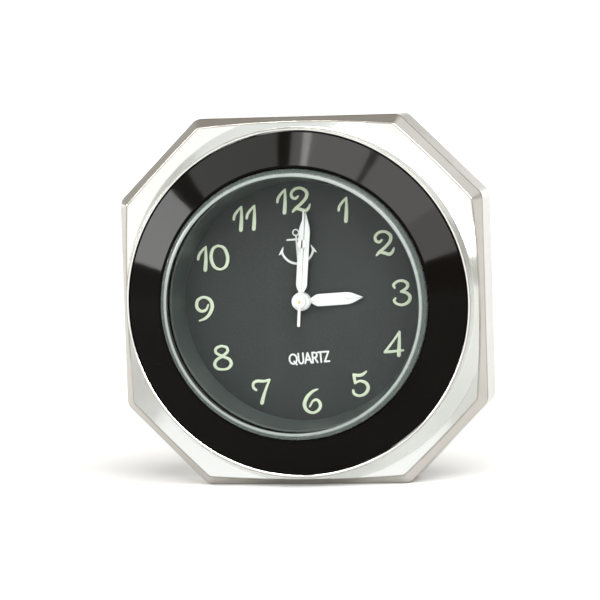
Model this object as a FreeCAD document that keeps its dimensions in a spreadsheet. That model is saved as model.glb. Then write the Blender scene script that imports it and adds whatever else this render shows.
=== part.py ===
import FreeCAD, Part
import math
import os
import re

import Sketcher

# A small octagonal stick-on quartz clock: a chrome holder with an adhesive pad, and a round clock
# that is pushed into it and held by a rubber grip ring. Every piece is drawn about the dial axis
# with x to the right, y up and z forward, measured from the back of the pad. Its Placement then
# stands it up: +Z is up and the dial faces -Y.

os.makedirs("parts", exist_ok=True)
doc = FreeCAD.newDocument("octagonal_clock")

SIZES = [
    # holder
    ("face_across", 45.0, "octagon across its main flats"),
    ("corner_cut", 9.9, "corner cut off each way"),
    ("corner_round", 1.6, "rounding of the octagon's upright edges"),
    ("pad_thickness", 0.8, "adhesive foam"),
    ("pad_inset", 1.0, "pad inside the holder's outline"),
    ("pad_bore", 19.6, "radius of the pad's hole"),
    ("holder_depth", 6.2, "upright side of the holder"),
    ("bevel_rise", 1.5, "height of the bevel"),
    ("bevel_inward", 1.18, "width of the bevel seen from the front"),
    ("flange_slope", 0.25, "rise of the face per unit outward"),
    ("flange_root", 0.57, "face above the bevel's foot, at the collar"),
    ("collar_radius", 21.3, "outside of the collar"),
    ("collar_wall", 0.35, "collar"),
    ("collar_rise", 3.8, "collar above the bevel's foot"),
    ("bore_radius", 18.6, "hole through the holder"),
    ("ledge_rise", 0.2, "seat of the front ring above the bevel's foot"),
    # round clock, front
    ("dial_twist", 3.65, "degrees that the round clock is turned, anticlockwise from the front"),
    ("turn_gap", 0.1, "radial clearance of the round clock in the holder"),
    ("seat_gap", 0.05, "axial clearance under the front ring"),
    ("ring_edge_rise", 3.7, "front ring's outer edge above the bevel's foot"),
    ("ring_crown_rise", 5.7, "front ring's inner edge above the bevel's foot"),
    ("ring_land", 0.25, "flat inner edge of the front ring"),
    ("glass_radius", 16.4, "glass"),
    ("glass_gap", 0.1, "radial clearance round the glass"),
    ("glass_thickness", 1.8, "glass"),
    ("glass_round", 0.9, "rounded rim of the glass"),
    ("glass_lift", 5.0, "back of the glass above the bevel's foot"),
    ("gasket_thickness", 0.3, "glass gasket"),
    ("gasket_width", 0.6, "glass gasket"),
    ("glass_seat", 0.65, "width of the seat under the glass"),
    ("surround_lip", 0.25, "wall of the surround at the glass"),
    ("surround_foot", 1.05, "wall of the surround at the dial"),
    ("surround_gap", 0.1, "clearance round the surround"),
    ("dial_rise", 0.4, "dial face above the bevel's foot"),
    ("dial_thickness", 0.3, "dial"),
    ("dial_gap", 0.05, "dial inside the surround's outline"),
    ("dial_hole", 1.1, "radius of the dial's hole"),
    # round clock, case
    ("grip_wall", 0.95, "grip ring"),
    ("case_wall", 1.5, "case shell"),
    ("grip_gap", 0.05, "grip ring round the case"),
    ("grip_length", 3.5, "grip ring"),
    ("grip_inset", 0.5, "grip ring from the ends of the case wall"),
    ("back_thickness", 0.6, "case back"),
    ("seal_thickness", 0.2, "case back gasket"),
    ("seal_inset", 0.1, "case back gasket inside the wall"),
    ("case_screw_circle", 14.35, "radius of the circle of case screws"),
    ("screw_head", 0.9, "radius of a case screw's head"),
    ("screw_head_height", 0.4, "case screw"),
    ("screw_shank", 0.45, "radius of a case screw"),
    ("screw_length", 2.3, "case screw, under its head"),
    ("screw_slot", 0.25, "width of a screw slot"),
    ("thread_gap", 0.02, "radial clearance round a screw"),
    ("plate_seat", 0.25, "width of the main plate's seat in the movement ring"),
    ("ring_gap", 0.05, "clearances of the movement ring"),
    # battery
    ("battery_place", 8.0, "battery axis from the dial axis"),
    ("battery_radius", 3.4, "button cell"),
    ("battery_thickness", 2.6, "button cell"),
    ("battery_gap", 0.15, "room before and behind the cell"),
    ("contact_thickness", 0.15, "contact strip"),
    ("contact_width", 1.2, "contact strip"),
    ("cap_passage", 0.1, "cap's neck past the button cell"),
    ("cap_gap", 0.1, "clearance round the cap's neck"),
    ("cap_rim", 0.7, "cap's head past its neck"),
    ("cap_head_height", 0.5, "battery cap"),
    ("cap_seal", 0.25, "cap's seal ring"),
    ("cap_seal_gap", 0.05, "room round the cap's seal ring"),
    ("coin_slot", 0.9, "width of the coin slot"),
    ("coin_slot_depth", 0.3, "coin slot"),
    # plates
    ("plate_radius", 13.0, "main plate"),
    ("plate_thickness", 0.5, "main plate"),
    ("works_gap", 0.13, "hour wheel to the dial"),
    ("bridge_radius", 9.8, "train bridge"),
    ("bridge_thickness", 0.4, "train bridge"),
    ("bridge_trim", 6.0, "flat of the bridge beside the circuit board"),
    ("bridge_foot", 8.9, "flat of the bridge beside the coil"),
    ("bridge_battery_gap", 0.3, "bridge from the cell"),
    ("bridge_back_gap", 0.45, "bridge from the case back"),
    ("pillar_radius", 0.6, "bridge pillar"),
    ("bridge_screw", 0.35, "radius of a bridge screw"),
    ("bridge_screw_head", 0.75, "radius of a bridge screw's head"),
    ("bridge_screw_height", 0.25, "bridge screw's head"),
    ("bridge_screw_length", 1.4, "bridge screw, under its head"),
    # train
    ("wheel_thickness", 0.3, "every wheel of the train"),
    ("wheel_gap", 0.3, "between wheels on neighbouring levels"),
    ("train_end_gap", 0.5, "centre wheel to the main plate"),
    ("bridge_gap", 0.25, "seconds wheel to the bridge"),
    ("pinion_overlap", 0.05, "pinion past its wheel"),
    ("pivot_radius", 0.15, "train arbors"),
    ("pivot_gap", 0.05, "pivots in their holes"),
    ("tooth_height", 0.8, "tip above the pitch circle, in modules"),
    ("tooth_depth", 1.1, "root below the pitch circle, in modules"),
    ("tooth_tip", 0.10, "half the tip width, in tooth pitches"),
    ("tooth_root", 0.26, "half the root width, in tooth pitches"),
    ("seconds_teeth", 72, "seconds wheel"),
    ("step_pinion_teeth", 12, "on the step wheel"),
    ("step_teeth", 60, "step wheel"),
    ("rotor_teeth", 12, "rotor pinion"),
    ("seconds_pinion_teeth", 8, "on the seconds wheel"),
    ("third_teeth", 60, "third wheel"),
    ("third_pinion_teeth", 8, "on the third wheel"),
    ("centre_teeth", 64, "centre wheel"),
    ("cannon_teeth", 12, "cannon pinion"),
    ("motion_teeth", 36, "motion wheel"),
    ("motion_pinion_teeth", 10, "on the motion wheel"),
    ("hour_teeth", 40, "hour wheel"),
    ("step_module", 0.10, "seconds wheel and step pinion"),
    ("rotor_module", 0.08, "step wheel and rotor pinion"),
    ("third_module", 0.12, "third wheel and seconds pinion"),
    ("motion_module", 0.18, "motion wheel and cannon pinion"),
    ("seconds_arbor", 0.18, "radius"),
    ("minute_bore", 0.26, "bore of the hollow minute arbor"),
    ("minute_arbor", 0.5, "radius"),
    ("tube_bore", 0.56, "bore of the centre tube"),
    ("tube_radius", 0.8, "centre tube"),
    ("tube_stand", 0.3, "centre tube past the main plate"),
    ("cannon_gap", 0.1, "cannon pinion past the centre tube"),
    ("hour_bore", 0.58, "bore of the hour pipe"),
    ("hour_pipe", 0.85, "radius of the hour pipe"),
    ("hour_wheel_gap", 0.12, "hour wheel past the cannon pinion"),
    ("hour_wheel_thickness", 0.25, "hour wheel"),
    ("clutch_radius", 1.3, "clutch spring"),
    ("clutch_thickness", 0.08, "clutch spring"),
    ("knob_arbor", 0.3, "radius of the setting arbor"),
    ("knob_hole", 0.4, "radius of the holes round the setting arbor"),
    ("knob_teeth", 24, "grips of the setting knob"),
    ("knob_module", 0.17, "grips of the setting knob"),
    ("knob_thickness", 0.6, "setting knob"),
    ("knob_lift", 0.2, "setting knob behind the case back"),
    # motor and electronics
    ("magnet_radius", 1.1, "rotor magnet"),
    ("magnet_gap", 0.35, "rotor magnet in the stator"),
    ("magnet_thickness", 0.6, "rotor magnet"),
    ("stator_thickness", 0.4, "stator"),
    ("stator_half", 6.2, "half the stator's width"),
    ("stator_leg", 1.4, "width of a stator leg"),
    ("stator_neck", 2.6, "half the stator's width beside the rotor"),
    ("stator_above", 2.18, "stator past the rotor axis, inward"),
    ("stator_below", 2.12, "stator past the rotor axis, outward"),
    ("coil_place", 10.4, "coil axis below the dial axis"),
    ("core_width", 1.0, "coil core"),
    ("core_thickness", 0.4, "coil core"),
    ("coil_radius", 1.0, "coil winding"),
    ("coil_half", 4.4, "half the winding's length"),
    ("board_near", 6.3, "inner edge of the board from the dial axis"),
    ("board_far", 11.5, "outer edge of the board"),
    ("board_low", 4.0, "lower edge of the board"),
    ("board_high", 5.2, "upper edge of the board"),
    ("board_thickness", 0.4, "circuit board"),
    ("board_lift", 0.05, "board behind the bridge's face"),
    ("chip_side", 2.4, "chip"),
    ("chip_height", 0.6, "chip"),
    ("chip_inset", 0.2, "chip from the board's edges"),
    ("can_radius", 0.9, "quartz can"),
    ("can_length", 5.0, "quartz can"),
    ("can_inset", 0.4, "quartz can from the board's edges"),
    # hands
    ("hour_angle", 90.7, "degrees clockwise from twelve"),
    ("minute_angle", 8.7, "degrees clockwise from twelve"),
    ("seconds_angle", 8.0, "degrees clockwise from twelve"),
    ("hand_thickness", 0.15, "hour and minute blades"),
    ("hand_boss_height", 0.3, "hand bosses"),
    ("lume_thickness", 0.06, "luminous filling above the blade"),
    ("lume_rim", 0.17, "frame left round the luminous filling"),
    ("hour_boss", 1.15, "radius"),
    ("hour_length", 7.7, "hour hand"),
    ("hour_width", 1.5, "hour hand"),
    ("hour_point", 1.7, "length of the hour hand's point"),
    ("hour_lift", 0.25, "hour boss above the dial"),
    ("minute_boss", 1.1, "radius"),
    ("minute_length", 11.1, "minute hand"),
    ("minute_width", 1.36, "minute hand"),
    ("minute_point", 2.2, "length of the minute hand's point"),
    ("minute_lift", 0.9, "minute boss above the dial"),
    ("neck_width", 0.42, "both hands beside the boss"),
    ("shoulder", 0.8, "both hands widen over this length"),
    ("seconds_boss", 0.75, "radius"),
    ("seconds_length", 11.1, "seconds hand"),
    ("seconds_tail", 3.0, "seconds hand"),
    ("seconds_width", 0.34, "seconds hand"),
    ("seconds_tip_width", 0.16, "seconds hand"),
    ("seconds_thickness", 0.12, "seconds hand"),
    ("seconds_disc", 0.55, "radius of the seconds hand's disc"),
    ("seconds_disc_place", 7.1, "seconds hand's disc from the dial axis"),
    ("seconds_lift", 1.55, "seconds boss above the dial"),
]

# Places and fits that follow from the sizes: z stations from back to front, then plan positions.
LAYOUT = [
    ("half_face", "face_across / 2"),
    ("half_flat", "face_across / 2 - corner_cut"),
    ("pad_half", "half_face - pad_inset"),
    ("pad_flat", "half_flat - pad_inset * tan(22.5)"),
    ("bevel_foot", "pad_thickness + holder_depth"),
    ("bevel_top", "bevel_foot + bevel_rise"),
    ("collar_inside", "collar_radius - collar_wall"),
    ("collar_top", "bevel_foot + collar_rise"),
    ("ledge", "bevel_foot + ledge_rise"),
    ("flange_inner", "bevel_foot + flange_root"),
    ("flange_reach", "half_face + corner_cut"),
    ("flange_outer", "flange_inner + flange_slope * (flange_reach - collar_radius)"),
    ("above_all", "collar_top + holder_depth"),
    ("behind_all", "0 - holder_depth"),
    ("ring_back", "ledge + seat_gap"),
    ("ring_outer", "collar_inside - turn_gap"),
    ("ring_edge", "bevel_foot + ring_edge_rise"),
    ("ring_crown", "bevel_foot + ring_crown_rise"),
    ("ring_mouth", "glass_radius + glass_gap"),
    ("ring_land_radius", "ring_mouth + ring_land"),
    ("ring_bore", "glass_radius - glass_seat"),
    ("surround_radius", "ring_bore - surround_gap"),
    ("dial_radius", "surround_radius - dial_gap"),
    ("glass_back", "bevel_foot + glass_lift"),
    ("glass_front", "glass_back + glass_thickness"),
    ("gasket_back", "glass_back - gasket_thickness"),
    ("gasket_inside", "glass_radius - gasket_width"),
    ("dial_front", "bevel_foot + dial_rise"),
    ("dial_back", "dial_front - dial_thickness"),
    ("surround_top", "gasket_back - surround_gap"),
    ("surround_top_inside", "surround_radius - surround_lip"),
    ("surround_foot_inside", "surround_radius - surround_foot"),
    # plates and train
    ("hour_wheel_front", "dial_back - works_gap"),
    ("hour_wheel_back", "hour_wheel_front - hour_wheel_thickness"),
    ("cannon_front", "hour_wheel_back - hour_wheel_gap"),
    ("cannon_back", "cannon_front - wheel_thickness"),
    ("tube_front", "cannon_back - cannon_gap"),
    ("plate_front", "tube_front - tube_stand"),
    ("plate_back", "plate_front - plate_thickness"),
    ("centre_wheel_front", "plate_back - train_end_gap"),
    ("centre_wheel_back", "centre_wheel_front - wheel_thickness"),
    ("third_wheel_front", "centre_wheel_back - wheel_gap"),
    ("third_wheel_back", "third_wheel_front - wheel_thickness"),
    ("seconds_wheel_front", "third_wheel_back - wheel_gap"),
    ("seconds_wheel_back", "seconds_wheel_front - wheel_thickness"),
    ("bridge_front", "seconds_wheel_back - bridge_gap"),
    ("bridge_back", "bridge_front - bridge_thickness"),
    ("case_back_front", "bridge_back - bridge_back_gap"),
    ("case_back_rear", "case_back_front - back_thickness"),
    ("wall_back", "case_back_front + seal_thickness"),
    ("grip_outside", "bore_radius - turn_gap"),
    ("grip_inside", "grip_outside - grip_wall"),
    ("case_radius", "grip_inside - grip_gap"),
    ("case_inside", "case_radius - case_wall"),
    ("seal_outside", "case_radius - seal_inset"),
    ("seal_inside", "case_inside + seal_inset"),
    ("grip_back", "wall_back + grip_inset"),
    ("grip_front", "grip_back + grip_length"),
    ("movement_outside", "case_inside - ring_gap"),
    ("movement_inside", "plate_radius - plate_seat"),
    ("movement_seat", "plate_radius + ring_gap"),
    ("movement_back", "case_back_front + ring_gap"),
    ("screw_place", "case_screw_circle * cos(45)"),
    ("screw_hole", "screw_shank + thread_gap"),
    ("screw_head_back", "case_back_rear - screw_head_height"),
    # battery
    ("battery_front", "plate_back - battery_gap * 2"),
    ("battery_back", "battery_front - battery_thickness"),
    ("contact_back", "battery_front + contact_thickness / 3"),
    ("contact_reach", "battery_radius + contact_thickness"),
    ("cap_neck", "battery_radius + cap_passage"),
    ("cap_head", "cap_neck + cap_rim"),
    ("cap_front", "battery_back - battery_gap"),
    ("cap_head_front", "case_back_rear - cap_seal - cap_seal_gap"),
    ("cap_head_back", "cap_head_front - cap_head_height"),
    ("cap_hole", "cap_neck + cap_gap"),
    ("cap_seal_front", "cap_head_front + cap_seal"),
    ("cap_seal_outside", "cap_head - cap_gap"),
    ("cap_seal_inside", "cap_neck + cap_gap"),
    # wheels on the dial axis
    ("minute_front", "dial_front + minute_lift + hand_boss_height"),
    ("tube_back", "plate_back - tube_stand / 6"),
    ("hour_front", "dial_front + hour_lift + hand_boss_height"),
    ("clutch_back", "centre_wheel_front + clutch_thickness / 4"),
    ("clutch_front", "clutch_back + clutch_thickness"),
    ("seconds_front", "dial_front + seconds_lift + hand_boss_height"),
    ("arbor_back", "bridge_back + pivot_gap"),
    ("arbor_front", "plate_front - pivot_gap"),
    ("pivot_hole", "pivot_radius + pivot_gap"),
    ("seconds_hole", "seconds_arbor + pivot_gap"),
    # wheel centres
    ("third_place", "third_module * (third_teeth + seconds_pinion_teeth) / 2"),
    ("centre_module", "2 * third_place / (centre_teeth + third_pinion_teeth)"),
    ("step_place", "step_module * (seconds_teeth + step_pinion_teeth) / 2"),
    ("rotor_place", "step_place + rotor_module * (step_teeth + rotor_teeth) / 2"),
    ("motion_place", "motion_module * (motion_teeth + cannon_teeth) / 2"),
    ("hour_module", "2 * motion_place / (hour_teeth + motion_pinion_teeth)"),
    ("knob_front", "case_back_rear - knob_lift"),
    ("knob_back", "knob_front - knob_thickness"),
    ("motion_front", "hour_wheel_front + pinion_overlap / 2"),
    # motor and electronics
    ("stator_front", "centre_wheel_front"),
    ("stator_back", "stator_front - stator_thickness"),
    ("stator_hole", "magnet_radius + magnet_gap"),
    ("stator_foot", "coil_place + core_width / 2"),
    ("stator_top", "rotor_place - stator_above"),
    ("stator_shoulder", "stator_top + stator_half - stator_neck - core_width / 2"),
    ("stator_inner", "rotor_place + stator_below"),
    ("stator_leg_inner", "stator_half - stator_leg"),
    ("magnet_back", "third_wheel_front + pinion_overlap * 3"),
    ("magnet_front", "magnet_back + magnet_thickness"),
    ("core_back", "stator_back - core_thickness"),
    ("coil_middle", "stator_back - core_thickness / 2"),
    ("board_back", "bridge_front - board_lift"),
    ("board_front", "board_back + board_thickness"),
    ("chip_front", "board_front + chip_height"),
    ("can_middle", "board_front + can_radius + ring_gap / 2"),
    # hands
    ("hour_blade_back", "dial_front + hour_lift + (hand_boss_height - hand_thickness) / 2"),
    ("hour_blade_front", "hour_blade_back + hand_thickness"),
    ("hour_lume_front", "hour_blade_front + lume_thickness"),
    ("minute_blade_back", "dial_front + minute_lift + (hand_boss_height - hand_thickness) / 2"),
    ("minute_blade_front", "minute_blade_back + hand_thickness"),
    ("minute_lume_front", "minute_blade_front + lume_thickness"),
    ("seconds_blade_back", "dial_front + seconds_lift + (hand_boss_height - seconds_thickness) / 2"),
    ("seconds_blade_front", "seconds_blade_back + seconds_thickness"),
]

home = {}


def fill_sheet(name, rows, as_text):
    """Make a sheet whose column B holds the rows' values, each under its alias."""
    page = doc.addObject("Spreadsheet::Sheet", name)
    for line, row in enumerate(rows, 1):
        page.set(f"A{line}", row[-1] if len(row) == 3 else row[0])
        page.set(f"B{line}", as_text(row[1]))
        page.setAlias(f"B{line}", row[0])
        home[row[0]] = page
    doc.recompute()
    return page


def full(text):
    """The expression that FreeCAD reads, from one that names the cells alone."""
    return re.sub(r"[a-z_]{2,}", lambda w: f"{home[w[0]].Name}.{w[0]}" if w[0] in home else w[0], text)


def within_layout(formula):
    """A Layout formula: cells of Sizes get their sheet's name, cells of Layout stay bare."""
    in_sizes = {row[0] for row in SIZES}
    return "=" + re.sub(r"[a-z_]{2,}", lambda w: f"Sizes.{w[0]}" if w[0] in in_sizes else w[0], formula)


def number(text):
    """The value of an expression that names the cells alone, worked out on a sheet of its own."""
    desk.set("A1", "=" + full(str(text)))
    desk.recompute()
    return float(desk.get("A1"))


fill_sheet("Sizes", SIZES, str)
fill_sheet("Layout", LAYOUT, within_layout)
desk = doc.addObject("Spreadsheet::Sheet", "Desk")

nodes = {}


def stand_up(turn_text=None, in_clock=True):
    """The Placement of a piece: its own turn about the dial axis, the clock's twist, then upright."""
    forward = FreeCAD.Vector(0, 0, 1)
    turn = FreeCAD.Rotation(forward, -number(turn_text) if turn_text else 0)
    twist = FreeCAD.Rotation(forward, number("dial_twist") if in_clock else 0)
    upright = FreeCAD.Rotation(FreeCAD.Vector(1, 0, 0), 90)
    return FreeCAD.Placement(FreeCAD.Vector(), upright.multiply(twist).multiply(turn))


def keep(piece, name, turn_text=None, in_clock=True):
    """Give a finished piece its name and its place."""
    piece.Label = name
    piece.Placement = stand_up(turn_text, in_clock)
    nodes[name] = piece
    return piece


def sketch_on(body, role, height=None):
    """A sketch on one of the body's own planes, lifted to a height."""
    sketch = body.newObject("Sketcher::SketchObject", f"{body.Name}_sketch")
    plane = [item for item in body.Origin.OriginFeatures if item.Role == role][0]
    sketch.AttachmentSupport = [(plane, "")]
    sketch.MapMode = "FlatFace"
    if height is not None:
        sketch.setExpression("AttachmentOffset.Base.z", full(height))
    return sketch


def pin_point(sketch, geometry, position, where):
    """Hold a point of the sketch at a place given by two expressions."""
    for kind, axis, text in (("DistanceX", -2, where[0]), ("DistanceY", -1, where[1])):
        if text == "0":
            sketch.addConstraint(Sketcher.Constraint("PointOnObject", geometry, position, axis))
        else:
            rule = Sketcher.Constraint(kind, -1, 1, geometry, position, number(text))
            sketch.setExpression(f"Constraints[{sketch.addConstraint(rule)}]", full(text))


def draw_outline(sketch, corners):
    """A closed run of straight lines through the corners."""
    first = sketch.GeometryCount
    places = [FreeCAD.Vector(number(x), number(y), 0) for x, y in corners]
    count = len(corners)
    for index in range(count):
        sketch.addGeometry(Part.LineSegment(places[index], places[(index + 1) % count]), False)
    for index in range(count):
        after = first + (index + 1) % count
        sketch.addConstraint(Sketcher.Constraint("Coincident", first + index, 2, after, 1))
        pin_point(sketch, first + index, 1, corners[index])


def draw_circle(sketch, x, y, radius):
    """A circle at a place, with its radius bound."""
    middle = FreeCAD.Vector(number(x), number(y), 0)
    circle = sketch.addGeometry(Part.Circle(middle, FreeCAD.Vector(0, 0, 1), number(radius)), False)
    if (x, y) == ("0", "0"):
        sketch.addConstraint(Sketcher.Constraint("Coincident", circle, 3, -1, 1))
    else:
        pin_point(sketch, circle, 3, (x, y))
    rule = sketch.addConstraint(Sketcher.Constraint("Radius", circle, number(radius)))
    sketch.setExpression(f"Constraints[{rule}]", full(radius))


def add_pad(body, back, front, outline=(), circles=()):
    """Pad an outline and circles from one height to another; inner ones are holes."""
    sketch = sketch_on(body, "XY_Plane", back)
    if outline:
        draw_outline(sketch, outline)
    for circle in circles:
        draw_circle(sketch, *circle)
    pad = body.newObject("PartDesign::Pad", f"{body.Name}_pad")
    pad.Profile = sketch
    pad.setExpression("Length", full(f"{front} - ({back})"))
    doc.recompute()
    return pad


def plate(name, back, front, outline=(), circles=(), turn_text=None, in_clock=True):
    """A flat piece of one thickness."""
    body = doc.addObject("PartDesign::Body", name)
    add_pad(body, back, front, outline, circles)
    return keep(body, name, turn_text, in_clock)


def add_turned(body, kind, corners):
    """Revolve a profile of (radius, height) corners, adding to the body or cutting from it."""
    before = body.Shape.Volume if body.Tip else 0
    sketch = sketch_on(body, "XZ_Plane")
    draw_outline(sketch, corners)
    feature = body.newObject(f"PartDesign::{kind}", f"{body.Name}_{kind.lower()}")
    feature.Profile = sketch
    feature.ReferenceAxis = (sketch, ["V_Axis"])
    feature.Angle = 360
    doc.recompute()
    grew = body.Shape.Volume > before
    if grew != (kind == "Revolution"):
        raise RuntimeError(f"{body.Name}: {kind} changed nothing")
    return feature


def turned(name, corners, in_clock=True):
    """A piece turned about the dial axis."""
    body = doc.addObject("PartDesign::Body", name)
    add_turned(body, "Revolution", corners)
    return keep(body, name, in_clock=in_clock)


def block_corners(inside, outside, back, front):
    """The profile of a plain ring."""
    return [(inside, back), (outside, back), (outside, front), (inside, front)]


def octagon(half, flat):
    """The corners of an octagon, anticlockwise from the right."""
    quarter = [(half, flat), (flat, half)]
    upper = quarter + [(f"0 - {x}", y) for x, y in reversed(quarter)]
    return upper + [(x, f"0 - {y}") for x, y in reversed(upper)]


def rectangle(left, right, low, high):
    """The corners of a rectangle."""
    return [(left, low), (right, low), (right, high), (left, high)]


def primitive(kind, name, x="0", y="0", z="0", **sizes):
    """A Part primitive with its sizes and place bound to the sheets."""
    item = doc.addObject(f"Part::{kind}", name)
    for key, text in sizes.items():
        item.setExpression(key, full(text))
    for key, text in (("x", x), ("y", y), ("z", z)):
        item.setExpression(f"Placement.Base.{key}", full(text))
    return item


def rod(name, radius, back, front, x="0", y="0"):
    """A cylinder along the dial axis."""
    return primitive("Cylinder", name, x, y, back, Radius=radius, Height=f"{front} - ({back})")


def join(name, items):
    """One Part object that holds all the items."""
    fuse = doc.addObject("Part::MultiFuse", name)
    fuse.Shapes = items
    return fuse


def cut(name, base, tool):
    """The base without the tool."""
    result = doc.addObject("Part::Cut", name)
    result.Base = base
    result.Tool = tool
    return result


# --- holder ---------------------------------------------------------------------------------


def make_holder():
    """The octagonal chrome holder, cast, bevelled, faced to a shallow cone and bored."""
    body = doc.addObject("PartDesign::Body", "bezel_shell")
    block = add_pad(body, "pad_thickness", "bevel_top", octagon("half_face", "half_flat"))
    top = number("bevel_top")
    upright = []
    for index, edge in enumerate(block.Shape.Edges, 1):
        ends = [vertex.Point for vertex in edge.Vertexes]
        if abs(ends[0].x - ends[1].x) + abs(ends[0].y - ends[1].y) < 1e-6:
            upright.append(f"Edge{index}")
    rounding = body.newObject("PartDesign::Fillet", "bezel_rounding")
    rounding.Base = (block, upright)
    rounding.setExpression("Radius", full("corner_round"))
    doc.recompute()
    rim = []
    for index, edge in enumerate(rounding.Shape.Edges, 1):
        if all(abs(vertex.Point.z - top) < 1e-6 for vertex in edge.Vertexes):
            rim.append(f"Edge{index}")
    bevel = body.newObject("PartDesign::Chamfer", "bezel_bevel")
    bevel.Base = (rounding, rim)
    bevel.ChamferType = "Two distances"
    bevel.setExpression("Size", full("bevel_rise"))
    bevel.setExpression("Size2", full("bevel_inward"))
    doc.recompute()
    face_radius = max(v.Point.x for v in bevel.Shape.Vertexes if abs(v.Point.z - top) < 1e-6)
    if abs(face_radius - number("half_face - bevel_inward")) > 1e-3:
        bevel.FlipDirection = True
        doc.recompute()
    add_turned(body, "Groove", [("collar_radius", "flange_inner"), ("flange_reach", "flange_outer"),
                                ("flange_reach", "above_all"), ("collar_radius", "above_all")])
    add_turned(body, "Revolution", block_corners("bore_radius", "collar_radius", "ledge", "collar_top"))
    add_turned(body, "Groove", [("0", "behind_all"), ("bore_radius", "behind_all"),
                                ("bore_radius", "ledge"), ("collar_inside", "ledge"),
                                ("collar_inside", "above_all"), ("0", "above_all")])
    return keep(body, "bezel_shell", in_clock=False)


make_holder()
plate("foam_pad", "0", "pad_thickness", octagon("pad_half", "pad_flat"),
      [("0", "0", "pad_bore")], in_clock=False)
turned("grip_ring", block_corners("grip_inside", "grip_outside", "grip_back", "grip_front"))

# --- front of the round clock ---------------------------------------------------------------

turned("front_ring", [("ring_bore", "ring_back"), ("ring_outer", "ring_back"),
                      ("ring_outer", "ring_edge"), ("ring_land_radius", "ring_crown"),
                      ("ring_mouth", "ring_crown"), ("ring_mouth", "gasket_back"),
                      ("ring_bore", "gasket_back")])


def make_glass():
    """The glass, a thick disc with a rounded rim that stands proud of the front ring."""
    body = doc.addObject("PartDesign::Body", "crystal_glass")
    disc = add_pad(body, "glass_back", "glass_front", circles=[("0", "0", "glass_radius")])
    front = number("glass_front")
    rim = [f"Edge{index}" for index, edge in enumerate(disc.Shape.Edges, 1)
           if all(abs(vertex.Point.z - front) < 1e-6 for vertex in edge.Vertexes)]
    rounding = body.newObject("PartDesign::Fillet", "glass_rounding")
    rounding.Base = (disc, rim)
    rounding.setExpression("Radius", full("glass_round"))
    doc.recompute()
    return keep(body, "crystal_glass")


make_glass()
turned("crystal_gasket", block_corners("gasket_inside", "glass_radius", "gasket_back", "glass_back"))
turned("dial_surround", [("surround_foot_inside", "dial_front"), ("surround_radius", "dial_front"),
                         ("surround_radius", "surround_top"), ("surround_top_inside", "surround_top")])
plate("dial_plate", "dial_back", "dial_front",
      circles=[("0", "0", "dial_radius"), ("0", "0", "dial_hole")])

# --- case of the round clock ----------------------------------------------------------------

SCREW_PLACES = [(x, y) for x in ("screw_place", "-screw_place") for y in ("screw_place", "-screw_place")]


def make_screws(name, places, head_radius, head_back, head_front, shank_radius, length):
    """Identical slotted screws that point forward."""
    bits = []
    slots = []
    for index, (x, y) in enumerate(places):
        bits.append(rod(f"{name}_head{index}", head_radius, head_back, head_front, x, y))
        shank_front = f"{head_front} + {length}"
        bits.append(rod(f"{name}_shank{index}", shank_radius, head_back, shank_front, x, y))
        slots.append(primitive("Box", f"{name}_slot{index}", f"{x} - {head_radius}",
                               f"{y} - screw_slot / 2", f"{head_back} - screw_slot / 2",
                               Length=f"{head_radius} * 2", Width="screw_slot", Height="screw_slot"))
    keep(cut(name, join(f"{name}_bits", bits), join(f"{name}_slots", slots)), name)


turned("case_shell", block_corners("case_inside", "case_radius", "wall_back", "ring_back"))
plate("case_back", "case_back_rear", "case_back_front",
      circles=[("0", "0", "case_radius"), ("battery_place", "0", "cap_hole"),
               ("-motion_place", "0", "knob_hole")] + [(x, y, "screw_hole") for x, y in SCREW_PLACES])
turned("back_gasket", block_corners("seal_inside", "seal_outside", "case_back_front", "wall_back"))
make_screws("case_screws", SCREW_PLACES, "screw_head", "screw_head_back", "case_back_rear",
            "screw_shank", "screw_length")


def make_movement_ring():
    """The plastic ring that centres the movement; the main plate drops into its front."""
    body = doc.addObject("PartDesign::Body", "movement_ring")
    holes = [(x, y, "screw_hole") for x, y in SCREW_PLACES]
    add_pad(body, "movement_back", "plate_back",
            circles=[("0", "0", "movement_outside"), ("0", "0", "movement_inside")] + holes)
    add_pad(body, "plate_back", "dial_back",
            circles=[("0", "0", "movement_outside"), ("0", "0", "movement_seat")])
    return keep(body, "movement_ring")


make_movement_ring()

# --- battery and its cap --------------------------------------------------------------------

plate("battery_cell", "battery_back", "battery_front",
      circles=[("battery_place", "0", "battery_radius")])
plate("contact_negative", "contact_back", "contact_back + contact_thickness",
      rectangle("battery_place - battery_radius / 2", "battery_place + battery_radius / 2",
                "0 - contact_width / 2", "contact_width / 2"))
plate("contact_positive", "battery_back", "plate_back",
      rectangle("battery_place + contact_reach", "battery_place + contact_reach + contact_thickness",
                "0 - contact_width", "contact_width"))
cap_body = join("cap_body", [rod("cap_neck_rod", "cap_neck", "cap_head_back", "cap_front", "battery_place"),
                             rod("cap_head_rod", "cap_head", "cap_head_back", "cap_head_front",
                                 "battery_place")])
cap_slot = primitive("Box", "cap_slot", "battery_place - cap_neck", "0 - coin_slot / 2",
                     "cap_head_back - coin_slot_depth", Length="cap_neck * 2", Width="coin_slot",
                     Height="coin_slot_depth * 2")
keep(cut("battery_cap", cap_body, cap_slot), "battery_cap")
plate("cap_seal_ring", "cap_head_front", "cap_seal_front",
      circles=[("battery_place", "0", "cap_seal_outside"), ("battery_place", "0", "cap_seal_inside")])

# --- plates of the movement -----------------------------------------------------------------

PILLAR_PLACES = [("2.2", "8.6"), ("-4.9", "-5.2"), ("4.0", "-4.3")]
ARBOR_HOLES = [("0", "third_place", "pivot_hole"), ("0", "-step_place", "pivot_hole"),
               ("0", "-rotor_place", "pivot_hole"), ("-motion_place", "0", "knob_hole")]

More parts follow.
